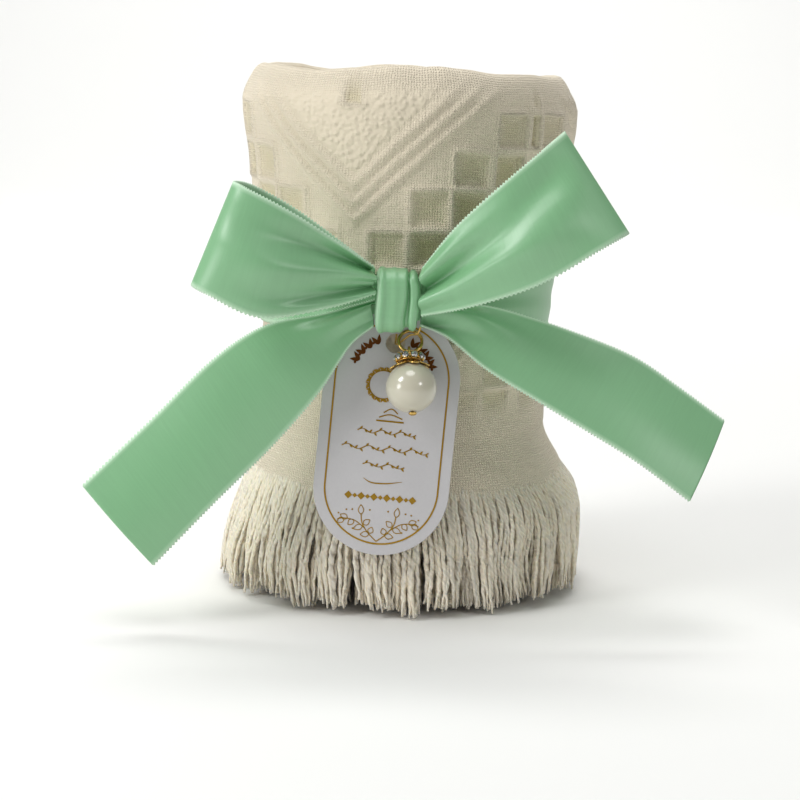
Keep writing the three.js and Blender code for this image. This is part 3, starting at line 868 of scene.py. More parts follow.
def left_tail(settings, look):
    upper = from_knot([
        (-ROOT, 1.5, 0), (-18, 2, -4), (-31, 1, -7), (-43, -1, -15), (-57, -3, -29), (-73, -6, -45)])
    lower = from_knot([
        (-ROOT, -1.5, -6), (-11, -1, -11), (-18, -2, -22), (-29, -4, -35), (-42, -7, -48), (-56, -9, -63)])

    def shape(u, v):
        near = smoothstep(0.42, 0.0, u)
        fold = 2.4 * bell(0.42, 0.34, v) * near
        valley = -1.2 * bell(0.1, 0.2, v) * near
        curl = 1.7 * math.sin(math.pi * v) * smoothstep(0.1, 0.5, u)
        roll = 1.5 * math.sin(5.4 * u + 0.6) * smoothstep(0.25, 0.9, u)
        return -(fold + valley + curl + roll) * MM

    # Painted shadow in the folds beside the knot.
    def deep(u, v):
        return 0.85 * smoothstep(0.36, 0.05, u) * bell(0.0, 0.36, v)

    return ribbon_strip("bow_tail_left", settings, look, upper, lower, shape, deep)


def right_tail(settings, look):
    upper = from_knot([
        (ROOT, 0.5, -2), (19, 2, -1), (32, 3, -4), (44, 3.5, -8), (56, 3, -13), (67, 2, -20), (78, 1, -27)])
    lower = from_knot([
        (ROOT, -3, -5), (12, -3.5, -8), (21, -5, -15), (33, -7, -22), (45, -8.5, -29), (57, -10, -36),
        (69, -11, -44)])

    def shape(u, v):
        near = smoothstep(0.5, 0.0, u)
        ridge = 2.0 * bell(0.78, 0.3, v) * near
        valley = -2.2 * bell(0.34, 0.34, v) * near
        curl = -1.2 * math.sin(math.pi * v) * smoothstep(0.2, 0.6, u)
        roll = 1.3 * math.sin(5.0 * u + 1.4) * smoothstep(0.3, 0.9, u)
        return -(ridge + valley + curl + roll) * MM

    # Painted shadow in the folds beside the knot.
    def deep(u, v):
        return 0.6 * smoothstep(0.45, 0.05, u) * bell(0.28, 0.3, v)

    return ribbon_strip("bow_tail_right", settings, look, upper, lower, shape, deep)


def waist_band(settings, look):
    """The ribbon's turn round the roll, a little crumpled under the bow."""
    middle = (BAND_LOW.z + BAND_HIGH.z) / 2
    half = (BAND_HIGH.z - BAND_LOW.z) / 2
    around = FULL_TURN * roll_radius(middle)
    columns, rows = picot_columns(around, settings), 20
    bm, places, (selvage, _) = grid(
        columns, rows, "ribbon", lambda c, r: (c / columns * around, r / rows * settings.width),
        ("selvage", "deep"))
    for v, (c, r) in places.items():
        angle = FULL_TURN * (c % columns) / columns
        front = bell(-math.pi / 2, 1.1, math.remainder(angle + math.pi / 2, FULL_TURN) - math.pi / 2)
        share = r / rows * 2 - 1
        wander = 1.1 * MM * noise.noise(Vector((math.cos(angle), math.sin(angle), 0.5)) * 1.7)
        height = middle + wander + share * half * (1 - 0.42 * front) - 1.5 * MM * front
        folds = 0.5 * MM * math.sin(9 * share + 2.2 * math.sin(angle * 2) + 1) * (0.25 + 0.75 * front)
        radius = roll_radius(height, math.cos(angle)) + 1.2 * MM + folds + 0.35 * MM * (1 - share * share)
        if r in (0, rows):
            height += (1 if r else -1) * settings.picot * (1 if c % 2 else -0.3)
        v.co = (radius * math.cos(angle), radius * math.sin(angle), height)
        v[selvage] = 1.0 if r in (0, rows) else 0.35 if r in (1, rows - 1) else 0.0
    bmesh.ops.remove_doubles(bm, verts=bm.verts, dist=0.01 * MM)
    return new_object("ribbon_waist_band_satin", bm, look, thickness=settings.thickness), around


def rounded_path(deep, tall, corner, share):
    """A point of a rounded rectangle in Y and Z, and its outward direction, share 0 to 1 round it."""
    side_y, side_z = deep / 2 - corner, tall / 2 - corner
    parts = [2 * side_z, math.pi / 2 * corner, 2 * side_y, math.pi / 2 * corner] * 2
    at = share * sum(parts)
    part = 0
    while part < 7 and at > parts[part]:
        at -= parts[part]
        part += 1
    half_turn = -1 if part >= 4 else 1
    kind = part % 4
    if kind == 0:
        point, outward = Vector((0, -side_y - corner, -side_z + at)), Vector((0, -1, 0))
    elif kind == 2:
        point, outward = Vector((0, -side_y + at, side_z + corner)), Vector((0, 0, 1))
    else:
        angle = at / corner + (0 if kind == 1 else math.pi / 2)
        outward = Vector((0, -math.cos(angle), math.sin(angle)))
        centre = Vector((0, -side_y if kind == 1 else side_y, side_z))
        point = centre + outward * corner
    return point * half_turn, outward * half_turn


def knot_wrap(settings, look):
    """The short length round the middle: a wide band, a groove, and a narrow flap on its right."""
    tuck = 4.6 * MM
    half = KNOT_SIZE.x / 2
    around, across = 72, 44
    length = 2 * (KNOT_SIZE.y + KNOT_SIZE.z) * 0.88
    bm, places, (selvage, dark) = grid(
        around, across, "ribbon", lambda c, r: (c / around * length, r / across * settings.width),
        ("selvage", "deep"))
    for v, (c, r) in places.items():
        share = r / across
        point, outward = rounded_path(KNOT_SIZE.y, KNOT_SIZE.z, 3.6 * MM, (c % around) / around)
        height = point.z / KNOT_SIZE.z
        if share < 0.2:
            x = -half + tuck * (1 - share / 0.2) * 0.9
            inward = 1.25 * MM
        elif share > 0.8:
            x = half - tuck * (share - 0.8) / 0.2 * 0.9
            inward = 1.25 * MM
        else:
            flat = (share - 0.2) / 0.6
            x = -half + 2 * half * flat
            groove_at = 0.74 - 0.12 * (height + 0.5) + 0.16 * (height + 0.5) ** 2
            inward = 1.0 * MM * (1 - smoothstep(0, 0.07, flat) * smoothstep(1, 0.93, flat))
            inward += 1.4 * MM * bell(groove_at, 0.05 + 0.08 * smoothstep(0.4, -0.5, height), flat)
            inward += 0.35 * MM * smoothstep(groove_at, groove_at + 0.05, flat)
            inward -= 0.3 * MM * bell(0.12, 0.1, flat) + 0.15 * MM * bell(0.42, 0.12, flat)
            # Painted shadow in the groove, on the front face.
            v[dark] = 0.75 * bell(groove_at, 0.09, flat) if outward.y < 0 else 0
        waist = 1 + 0.05 * math.cos(FULL_TURN * height) * 0.6
        x = x * waist + 0.25 * MM * math.sin(6 * height + 1)
        v.co = KNOT + Vector((x, 0, 0)) + point - outward * inward
        v[selvage] = 0.6 if 0.2 <= share < 0.235 else 0.0
    bmesh.ops.remove_doubles(bm, verts=bm.verts, dist=0.005 * MM)
    return new_object("knot_wrap_satin", bm, look, thickness=settings.thickness), length


def knot_core(settings, look):
    """Three thicknesses of ribbon gathered in folds where the knot grips them."""
    legs, steps = 9, 8
    tall, deep = 8.6 * MM, 6.4 * MM
    long_way = 10.6 * MM
    bm, places, (_, dark) = grid(
        12, legs * steps, "ribbon",
        lambda c, r: (c / 12 * long_way, r / (legs * steps) * 3 * settings.width), ("selvage", "deep"))
    for v, (c, r) in places.items():
        leg = r // steps
        swing = math.sin(math.pi * (r / steps - 0.5))
        y = -deep / 2 + deep * r / (legs * steps)
        z = swing * tall / 2 * (0.92 + 0.08 * math.cos(leg * 1.7))
        x = (c / 12 - 0.5) * long_way
        v.co = KNOT + Vector((x, y + 0.2 * MM * math.sin(c * 0.6 + leg), z))
        # The whole gathered core gets painted shade.
        v[dark] = 0.6
    return new_object("knot_gathers_satin", bm, look, thickness=settings.thickness), long_way


# Card tag

TAG_WIDTH = 32.5 * MM
TAG_LENGTH = 58.5 * MM
TAG_THICKNESS = 0.7 * MM
HOLE_RADIUS = 2.3 * MM
HOLE_INSET = 7.5 * MM


def stadium(bm, radius, segments=96):
    """A ring of vertices at one distance round the card's middle line, its top end at the origin."""
    ring = bmesh.ops.create_circle(bm, segments=segments, radius=radius)["verts"]
    bmesh.ops.rotate(bm, verts=ring, cent=(0, 0, 0), matrix=Matrix.Rotation(math.pi / segments, 3, "Z"))
    upper = [v for v in ring if v.co.y > 0]
    lower = [v for v in ring if v.co.y < 0]
    bmesh.ops.translate(bm, verts=upper, vec=(0, -TAG_WIDTH / 2, 0))
    bmesh.ops.translate(bm, verts=lower, vec=(0, -(TAG_LENGTH - TAG_WIDTH / 2), 0))
    return ring


def onto_tag(bm, lift):
    """Stands flat work, drawn in X and Y, on the front of the card."""
    stand = Matrix.Translation((0, -lift, 0)) @ Matrix.Rotation(math.pi / 2, 4, "X")
    bmesh.ops.transform(bm, matrix=TAG_PLACE @ stand, verts=bm.verts)


def build_card(look):
    bm = bmesh.new()
    stadium(bm, TAG_WIDTH / 2)
    hole = bmesh.ops.create_circle(bm, segments=48, radius=HOLE_RADIUS)["verts"]
    bmesh.ops.translate(bm, verts=hole, vec=(0, -HOLE_INSET, 0))
    bmesh.ops.triangle_fill(bm, edges=bm.edges, use_beauty=True, use_dissolve=True)
    bmesh.ops.recalc_face_normals(bm, faces=bm.faces)
    bmesh.ops.solidify(bm, geom=bm.faces, thickness=TAG_THICKNESS)
    heights = [v.co.z for v in bm.verts]
    middle = (min(heights) + max(heights)) / 2
    bmesh.ops.translate(bm, verts=bm.verts, vec=(0, 0, -middle))
    rims = [e for e in bm.edges if len(e.link_faces) == 2 and e.calc_face_angle(0) > 1]
    bmesh.ops.bevel(bm, geom=rims, offset=0.12 * MM, segments=3, affect="EDGES", profile=0.5, material=-1)
    onto_tag(bm, 0)
    return new_object("tag_card_board", bm, look, smooth=False)


def stroke(bm, points, width):
    """A flat line of foil along points: pairs of vertices, extruded from one to the next."""
    edge = None
    for i, point in enumerate(points):
        ahead = points[min(i + 1, len(points) - 1)] - points[max(i - 1, 0)]
        side = Vector((-ahead.y, ahead.x, 0)).normalized()
        taper = width[i] if isinstance(width, list) else width
        left, right = point + side * taper / 2, point - side * taper / 2
        if edge is None:
            edge = bm.edges.new((bm.verts.new(left), bm.verts.new(right)))
            continue
        made = bmesh.ops.extrude_edge_only(bm, edges=[edge])["geom"]
        edge = next(g for g in made if isinstance(g, bmesh.types.BMEdge))
        first, second = edge.verts
        nearer = (first.co - left).length < (second.co - left).length
        first.co, second.co = (left, right) if nearer else (right, left)


def leaf(bm, base, angle, length, width, hollow=False):
    """A pointed leaf, filled or in outline."""
    steps = 10
    turn = Matrix.Rotation(angle, 3, "Z")
    sides = []
    for side in (1, -1):
        row = []
        for i in range(steps + 1):
            t = i / steps
            half = width / 2 * math.sin(math.pi * t ** 0.8)
            row.append(base + turn @ Vector((length * t, side * half, 0)))
        sides.append(row)
    if hollow:
        for row in sides:
            stroke(bm, row, 0.2 * MM)
        return
    ring = sides[0] + sides[1][-2:0:-1]
    bm.faces.new([bm.verts.new(p) for p in ring])


def dot(bm, centre, radius):
    made = bmesh.ops.create_circle(bm, cap_ends=True, segments=14, radius=radius)
    bmesh.ops.translate(bm, verts=made["verts"], vec=centre)


def curve_points(points, steps):
    rows = millimetres(*[(x, y, 0) for x, y in points])
    return [spline(rows, i / steps) for i in range(steps + 1)]


FOIL_THICKNESS = 0.05 * MM
FOIL_LIFT = TAG_THICKNESS / 2 + 0.02 * MM


def foil_object(name, bm, look):
    """Turns flat foil to face the viewer, lays it on the card and gives it its thickness."""
    bmesh.ops.recalc_face_normals(bm, faces=bm.faces)
    for face in bm.faces:
        if face.normal.z < 0:
            face.normal_flip()
    onto_tag(bm, FOIL_LIFT)
    return new_object(name, bm, look, smooth=False, outward=False, thickness=FOIL_THICKNESS, offset=1)


def tag_border(settings, look):
    bm = bmesh.new()
    for inset in (settings.inset, settings.inset + settings.border):
        stadium(bm, TAG_WIDTH / 2 - inset)
    bmesh.ops.bridge_loops(bm, edges=bm.edges[:])
    return foil_object("tag_border_foil", bm, look)


def sprig(bm, side):
    """A branch with outlined leaves and berries, from the foot of the border."""
    foot = -55.2
    main = curve_points([
        (0, foot), (side * 2.2, foot + 1.9), (side * 3.8, foot + 4.2), (side * 4.2, foot + 6.4)], 14)
    stroke(bm, main, 0.26 * MM)
    long_stem = curve_points([(side * 2.9, foot + 2.8), (side * 5.4, foot + 4.5), (side * 8, foot + 4.9),
                              (side * 9.8, foot + 4.5)], 14)
    stroke(bm, long_stem, 0.22 * MM)
    places = ((4.2, 6.2, 84, 2.3), (3.4, 3.8, 140, 1.9), (3.6, 3.4, -22, 2.3), (5.9, 4.7, -48, 1.8),
              (7.4, 4.9, 24, 1.9), (8.2, 4.8, -34, 1.9), (1.9, 1.6, -8, 2.1), (1.8, 1.8, 110, 1.6))
    for x, y, degrees, length in places:
        angle = math.radians(degrees if side > 0 else 180 - degrees)
        leaf(bm, Vector((side * x, foot + y, 0)) * MM, angle, length * MM, 1.3 * MM, hollow=True)
    for x, y in ((2.2, 7.4), (6.4, 7.2), (7.8, 7.0), (5.9, 2.6), (9.6, 6.0)):
        dot(bm, Vector((side * x, foot + y, 0)) * MM, 0.22 * MM)


def vine(bm, y, half, waves, height):
    """A waving line with small leaves, in place of a line of writing."""
    steps = 16 * waves
    points = []
    for i in range(steps + 1):
        t = i / steps
        points.append(Vector((-half + 2 * half * t, y + height * math.sin(FULL_TURN * waves * t), 0)) * MM)
    widths = [(0.14 + 0.16 * abs(math.cos(FULL_TURN * waves * i / steps))) * MM for i in range(steps + 1)]
    stroke(bm, points, widths)
    for k in range(4 * waves):
        at = points[int((k + 0.5) / (4 * waves) * steps)]
        up = 1 if k % 2 == 0 else -1
        leaf(bm, at, math.radians(52 * up), 0.95 * MM, 0.5 * MM)


def tag_ornament(look):
    """Gold foil: vines, a swash, a row of lozenges and two sprigs."""
    bm = bmesh.new()
    vine(bm, -28.9, 7.0, 3, 0.45)
    vine(bm, -32.9, 10.4, 4, 0.5)
    vine(bm, -36.9, 5.0, 2, 0.4)
    swash = curve_points([(-4.6, -40.2), (-2.4, -41.2), (1.2, -41.1), (4.8, -40.4)], 18)
    stroke(bm, swash, [0.34 * MM * math.sin(math.pi * (0.08 + 0.84 * i / 18)) for i in range(19)])
    count = 11
    for i in range(count):
        x = (i / (count - 1) - 0.5) * 15.4
        big = 1.0 if i % 2 == 0 else 0.62
        centre = Vector((x, -44.6, 0)) * MM
        made = bmesh.ops.create_circle(bm, cap_ends=True, segments=4, radius=0.95 * MM * big)
        bmesh.ops.translate(bm, verts=made["verts"], vec=centre)
    for side in (-1, 1):
        sprig(bm, side)
    return foil_object("tag_ornament_foil", bm, look)


def tag_wreath(look):
    """Gold foil behind the pearl: a ring of leaves on a small stand."""
    bm = bmesh.new()
    centre = Vector((-1.9, -17.6, 0))
    leaves = 16
    for i in range(leaves):
        angle = FULL_TURN * i / leaves
        base = (centre + Vector((math.cos(angle), math.sin(angle), 0)) * 3.4) * MM
        leaf(bm, base, angle + 1.1, 1.5 * MM, 0.75 * MM)
        leaf(bm, base, angle - 0.2, 0.9 * MM, 0.5 * MM)
    ring = [(centre + Vector((math.cos(a), math.sin(a), 0)) * 3.4) * MM
            for a in (FULL_TURN * i / 48 for i in range(49))]
    stroke(bm, ring, 0.3 * MM)
    stroke(bm, curve_points([(-2.2, -25.4), (0.4, -24.6), (3.4, -25.4)], 12), 0.3 * MM)
    stroke(bm, curve_points([(-1.2, -24.2), (0.6, -23.2), (2.2, -24.2)], 12), 0.3 * MM)
    stroke(bm, curve_points([(-2.8, -26.2), (3.8, -26.2)], 6), 0.4 * MM)
    return foil_object("tag_wreath_foil", bm, look)


def tag_arc(look):
    """Gold foil painted dark bronze as a painted dark reflection: two short garlands that follow the card's
    round top.
    """
    bm = bmesh.new()
    centre = Vector((0, -TAG_WIDTH / 2, 0))
    for side in (-1, 1):
        for i in range(4):
            angle = math.radians(90 - side * (26 + 12.5 * i))
            out = Vector((math.cos(angle), math.sin(angle), 0))
            base = centre + out * 9.0 * MM
            leaf(bm, base, angle - 0.42 * side, 2.5 * MM, 0.95 * MM)
            leaf(bm, base, angle + 0.42 * side, 2.5 * MM, 0.95 * MM)
            between = math.radians(90 - side * (26 + 12.5 * (i + 0.5)))
            dot(bm, centre + Vector((math.cos(between), math.sin(between), 0)) * 9.8 * MM, 0.32 * MM)
    return foil_object("tag_garland_foil", bm, look)


# Thread and charm

CORD_RADIUS = 0.25 * MM
RING_RADIUS = 2.75 * MM           # to the middle of the jump ring's wire
RING_WIRE = 0.4 * MM              # radius of that wire
EYE_RADIUS = 1.3 * MM
EYE_WIRE = 0.3 * MM
PEARL_RADIUS = 6 * MM
PEARL_DROP = (EYE - PEARL).length


def tube(name, points, radius, look, sides=10):
    """A round cord along points: a grid rolled up round each of them, with closed ends."""
    stations = len(points) - 1
    step = sum((b - a).length for a, b in zip(points, points[1:])) / stations
    bm, places, _ = grid(sides, stations, "cord",
                         lambda c, r: (c / sides * FULL_TURN * radius, r * step))
    frames = []
    across = None
    for i, point in enumerate(points):
        ahead = (points[min(i + 1, stations)] - points[max(i - 1, 0)]).normalized()
        across = across or ahead.orthogonal()
        across = (across - ahead * across.dot(ahead)).normalized()
        frames.append((point, across, ahead.cross(across)))
    for v, (c, r) in places.items():
        point, across, other = frames[r]
        angle = FULL_TURN * (c % sides) / sides
        v.co = point + (across * math.cos(angle) + other * math.sin(angle)) * radius
    bmesh.ops.remove_doubles(bm, verts=bm.verts, dist=0.001 * MM)
    bmesh.ops.holes_fill(bm, edges=[e for e in bm.edges if e.is_boundary], sides=0)
    return new_object(name, bm, look)


def on_tag(x, y, z):
    return TAG_PLACE @ (Vector((x, y, z)) * MM)


def thread_route():
    """From beside the knot, through the jump ring and the card's hole, and up behind the card."""
    rows = [(5.6, -4.4, -2.4), (4.8, -3.5, -4.6), (3.1, -2.15, -5.2), (0.8, -1.6, -7.3), (0, 0, -7.5),
            (0, 0.8, -6.1), (0, 0.8, -1)]
    points = [on_tag(*row) for row in rows]
    return [spline(points, i / 60) for i in range(61)]


def ring_of(place, radius, wire, normal, name, look, around=64):
    """A wire ring: a small circle spun once about its centre."""
    bm = bmesh.new()
    small = bmesh.ops.create_circle(bm, segments=14, radius=wire)["verts"]
    bmesh.ops.translate(bm, verts=small, vec=(radius, 0, 0))
    bmesh.ops.rotate(bm, verts=small, cent=(0, 0, 0), matrix=Matrix.Rotation(math.pi / 2, 3, "X"))
    bmesh.ops.spin(bm, geom=bm.edges[:], cent=(0, 0, 0), axis=(0, 0, 1), dvec=(0, 0, 0),
                   angle=FULL_TURN, steps=around, use_merge=True)
    bmesh.ops.rotate(bm, verts=bm.verts, cent=(0, 0, 0), matrix=normal)
    bmesh.ops.transform(bm, matrix=place, verts=bm.verts)
    return new_object(name, bm, look)


UPRIGHT = Matrix.Rotation(math.pi / 2, 3, "X")      # a ring that stands in the XZ plane
SIDEWAYS = Matrix.Rotation(math.pi / 2, 3, "Y")     # a ring that stands in the YZ plane


def lathe(profile, place, name, look, around=64):
    """Spins a closed or axis-to-axis profile of (radius, height) about Z."""
    bm = bmesh.new()
    verts = [bm.verts.new((r, 0, z)) for r, z in profile]
    for a, b in zip(verts, verts[1:]):
        bm.edges.new((a, b))
    bmesh.ops.spin(bm, geom=bm.verts[:] + bm.edges[:], cent=(0, 0, 0), axis=(0, 0, 1), dvec=(0, 0, 0),
                   angle=FULL_TURN, steps=around, use_merge=True)
    bmesh.ops.remove_doubles(bm, verts=bm.verts, dist=0.002 * MM)
    bmesh.ops.transform(bm, matrix=place, verts=bm.verts)
    return new_object(name, bm, look)


def build_pearl(look):
    bore = 0.7 * MM
    start = math.asin(bore / PEARL_RADIUS)
    steps = 40
    profile = []
    for i in range(steps + 1):
        angle = start + (math.pi - 2 * start) * i / steps
        profile.append((PEARL_RADIUS * math.sin(angle), PEARL_RADIUS * math.cos(angle) - PEARL_DROP))
    profile.append(profile[0])
    return lathe(profile, CHARM_PLACE, "pearl_bead", look, around=72)


def build_cap(settings, look):
    """A thin pressed cap, its rim cut in petals that cup the pearl."""
    around, down = 12 * settings.petals, 18
    bm, places, _ = grid(around, down)
    shell = PEARL_RADIUS + 0.3 * MM
    for v, (c, r) in places.items():
        turn = FULL_TURN * (c % around) / around
        petal = abs(math.sin(settings.petals * turn / 2))
        reach = math.radians(27 + 20 * petal ** 0.7)
        polar = math.radians(9) + (reach - math.radians(9)) * r / down
        flare = 0.35 * MM * smoothstep(0.8, 1.0, r / down) * petal
        rib = 0.14 * MM * petal * smoothstep(0.2, 0.6, r / down)
        radius = shell + flare + rib
        v.co = (radius * math.sin(polar) * math.cos(turn), radius * math.sin(polar) * math.sin(turn),
                radius * math.cos(polar) - PEARL_DROP)
    bmesh.ops.remove_doubles(bm, verts=bm.verts, dist=0.005 * MM)
    bmesh.ops.transform(bm, matrix=CHARM_PLACE, verts=bm.verts)
    return new_object("bead_cap_petals", bm, look, thickness=0.3 * MM)


STONES = 10
COLLAR_TOP = -0.4 * MM
COLLAR_FOOT = -2.2 * MM


def build_collar(look):
    """A cup-chain collar: a grooved band with a beaded upper and lower rim."""
    middle = (COLLAR_TOP + COLLAR_FOOT) / 2
    profile = [(2.0 * MM, COLLAR_TOP)]
    for z, out in ((COLLAR_TOP, 2.6), (COLLAR_TOP - 0.25 * MM, 2.72), (COLLAR_TOP - 0.45 * MM, 2.45),
                   (middle, 2.35), (COLLAR_FOOT + 0.45 * MM, 2.45), (COLLAR_FOOT + 0.25 * MM, 2.72),
                   (COLLAR_FOOT, 2.6)):
        profile.append((out * MM, z))
    profile += [(2.0 * MM, COLLAR_FOOT), profile[0]]
    return lathe(profile, CHARM_PLACE, "rhinestone_collar_band", look)


def build_stone(index, look, metal):
    """A round brilliant: table, crown, girdle and pavilion, in its claw cup."""
    angle = FULL_TURN * index / STONES
    bm = bmesh.new()
    rows = ((0.42, 0.62), (0.8, 0.28), (0.8, 0.16), (0.1, -0.55))
    ring = bmesh.ops.create_circle(bm, cap_ends=True, segments=8, radius=rows[0][0] * MM)["verts"]
    bmesh.ops.translate(bm, verts=ring, vec=(0, 0, rows[0][1] * MM))
    edges = bm.edges[:]
    for radius, height in rows[1:]:
        made = bmesh.ops.extrude_edge_only(bm, edges=edges)["geom"]
        ring = [g for g in made if isinstance(g, bmesh.types.BMVert)]
        fresh = set(ring)
        edges = [g for g in made if isinstance(g, bmesh.types.BMEdge) and set(g.verts) <= fresh]
        for v in ring:
            flat = Vector((v.co.x, v.co.y, 0)).normalized() * radius * MM
            v.co = Vector((flat.x, flat.y, height * MM))
        bmesh.ops.rotate(bm, verts=ring, cent=(0, 0, 0), matrix=Matrix.Rotation(math.pi / 16, 3, "Z"))
    bmesh.ops.contextual_create(bm, geom=edges)
    middle = (COLLAR_TOP + COLLAR_FOOT) / 2
    outward = Matrix.Rotation(angle, 4, "Z") @ Matrix.Translation((3.15 * MM, 0, middle)) \
        @ Matrix.Rotation(math.pi / 2, 4, "Y")
    bmesh.ops.transform(bm, matrix=CHARM_PLACE @ outward, verts=bm.verts)
    stone = new_object(f"stone_{index + 1}", bm, look, smooth=False)
    cup_profile = [(r * MM, z * MM) for r, z in (
        (0.25, -0.62), (0.7, -0.4), (0.88, 0.14), (0.98, 0.14), (0.8, -0.5), (0.3, -0.78), (0.25, -0.62))]
    cup = lathe(cup_profile, CHARM_PLACE @ outward, f"stone_cup_{index + 1}", metal, around=20)
    return stone, cup


def build_pin(look):
    """The eye pin: its head below the pearl and its straight wire."""
    foot = -(PEARL_DROP + PEARL_RADIUS) - 0.3 * MM
    wire = 0.35 * MM
    profile = [(0, foot - 0.5 * MM), (0.55 * MM, foot - 0.45 * MM), (0.9 * MM, foot - 0.2 * MM),
               (1.0 * MM, foot), (0.9 * MM, foot + 0.12 * MM), (wire, foot + 0.15 * MM),
               (wire, -1.25 * MM), (0, -1.2 * MM)]
    return lathe(profile, CHARM_PLACE, "eye_pin_wire", look, around=32)


# Operators

def settings_of(context, name):
    return getattr(context.scene, name)


def looks(context):
    """The materials, made once and shared by the pieces."""
    if not looks.made:
        towel = settings_of(context, "towel_cloth_settings")
        tag = settings_of(context, "towel_tag_settings")
        charm = settings_of(context, "towel_charm_settings")
        looks.made = {
            "cotton": jacquard_cotton(towel),
            "yarn": fringe_yarn(towel),
            "satin": polyester_satin(settings_of(context, "towel_ribbon_settings")),
            "card": uncoated_card(tag),
            "foil": stamped_foil("hot_stamped_gold_foil", tag.foil),
            # This foil carries a painted dark reflection.
            "painted_dark_reflection_foil": stamped_foil("hot_stamped_foil_painted_dark_reflection", tag.foil_painted_dark_reflection),
            "gold": plated_alloy(charm),
            "pearl": coated_pearl(charm),
            "glass": cut_glass(charm),
            "thread": metallic_thread(charm),
        }
    return looks.made


looks.made = {}


CAMERA_ASIDE = -0.5 * MM


class TOWEL_OT_stage(bpy.types.Operator):
    """Sets the camera, the soft studio light and the pale floor"""
    bl_idname = "towel.stage"
    bl_label = "Stage"

    def execute(self, context):
        settings = settings_of(context, "towel_stage_settings")
        scene = context.scene
        camera_data = bpy.data.cameras.new("camera")
        camera_data.sensor_width = 36
        camera_data.lens = settings.lens
        camera_data.clip_start = 0.01
        camera = bpy.data.objects.new("camera", camera_data)
        forward = Vector((0, math.cos(settings.pitch), -math.sin(settings.pitch)))
        level = forward.cross(Vector((0, 0, 1))).normalized()
        above = level.cross(forward)
        right = math.cos(settings.roll) * level + math.sin(settings.roll) * above
        up = math.cos(settings.roll) * above - math.sin(settings.roll) * level
        turn = Matrix((right, up, -forward)).transposed().to_4x4()
        place = Vector((CAMERA_ASIDE, -settings.distance, settings.height))
        camera.matrix_world = Matrix.Translation(place) @ turn
        scene.collection.objects.link(camera)
        scene.camera = camera

        # A board that runs flat under the towel and curves up behind it.
        wide, front, flat, sweep, wall = 9, -3.5, 4.9, 0.9, 2.6
        across, flat_rows, sweep_rows, wall_rows = 8, 16, 16, 8
        behind = front + flat
        bm, places, _ = grid(across, flat_rows + sweep_rows + wall_rows)
        for v, (c, r) in places.items():
            x = (c / across - 0.5) * wide
            swept = r - flat_rows
            risen = swept - sweep_rows
            if swept <= 0:
                v.co = (x, front + flat * r / flat_rows, 0)
            elif risen <= 0:
                bend = math.pi / 2 * swept / sweep_rows
                v.co = (x, behind + sweep * math.sin(bend), sweep - sweep * math.cos(bend))
            else:
                v.co = (x, behind + sweep, sweep + wall * risen / wall_rows)
        floor = new_object("floor", bm, painted_floor(settings), outward=False)

        world = bpy.data.worlds.new("studio")
        world.use_nodes = True
        back = world.node_tree.nodes["Background"]
        back.inputs["Color"].default_value = (1, 1, 1, 1)
        back.inputs["Strength"].default_value = 0.2
        scene.world = world
        scene.view_settings.view_transform = "Standard"
        towel = (0, 0, 0.1)
        self.softbox(scene, "key", (-0.5, -0.3, 0.5), 0.24, 1.75, towel)
        self.softbox(scene, "window", (-0.62, -0.42, 0.17), 0.26, 1.0, towel)
        self.softbox(scene, "fill", (0.46, -0.5, 0.34), 0.17, 0.42, towel)
        self.softbox(scene, "overhead", (-0.05, -0.16, 0.8), 0.45, 1.8, towel)
        self.softbox(scene, "backdrop_light", (0, 0.75, 1.7), 1.2, 30, (0, 2.0, 0.3))
        return {"FINISHED"}

    def softbox(self, scene, name, place, size, power, towards):
        light = bpy.data.lights.new(name, "AREA")
        light.shape = "DISK"
        light.size = size
        light.energy = power
        lamp = bpy.data.objects.new(name, light)
        lamp.location = place
        lamp.rotation_euler = (Vector(towards) - Vector(place)).to_track_quat("-Z", "Y").to_euler()
        scene.collection.objects.link(lamp)


class TOWEL_OT_cloth(bpy.types.Operator):
    """Builds the folded and rolled towel"""
    bl_idname = "towel.cloth"
    bl_label = "Towel cloth"

    def execute(self, context):
        settings = settings_of(context, "towel_cloth_settings")
        cloth = build_towel(settings, looks(context)["cotton"])
        settle(cloth, "root", "cotton_cloth", "towel_cloth")
        return {"FINISHED"}


class TOWEL_OT_fringe(bpy.types.Operator):
    """Builds the fringe of both leaves"""
    bl_idname = "towel.fringe"
    bl_label = "Fringe"

    def execute(self, context):
        settings = settings_of(context, "towel_cloth_settings")
        look = looks(context)["yarn"]
        outer = build_fringe("fringe_outer_yarns", settings, look, 0.4 * MM, STRIP / 2, 11)
        settle(outer, "root", "cotton_fringe", "fringe_outer_leaf")
        inner = build_fringe("fringe_inner_yarns", settings, look, -STRIP / 2, -0.4 * MM, 12)
        settle(inner, "root", "cotton_fringe", "fringe_inner_leaf")
        return {"FINISHED"}


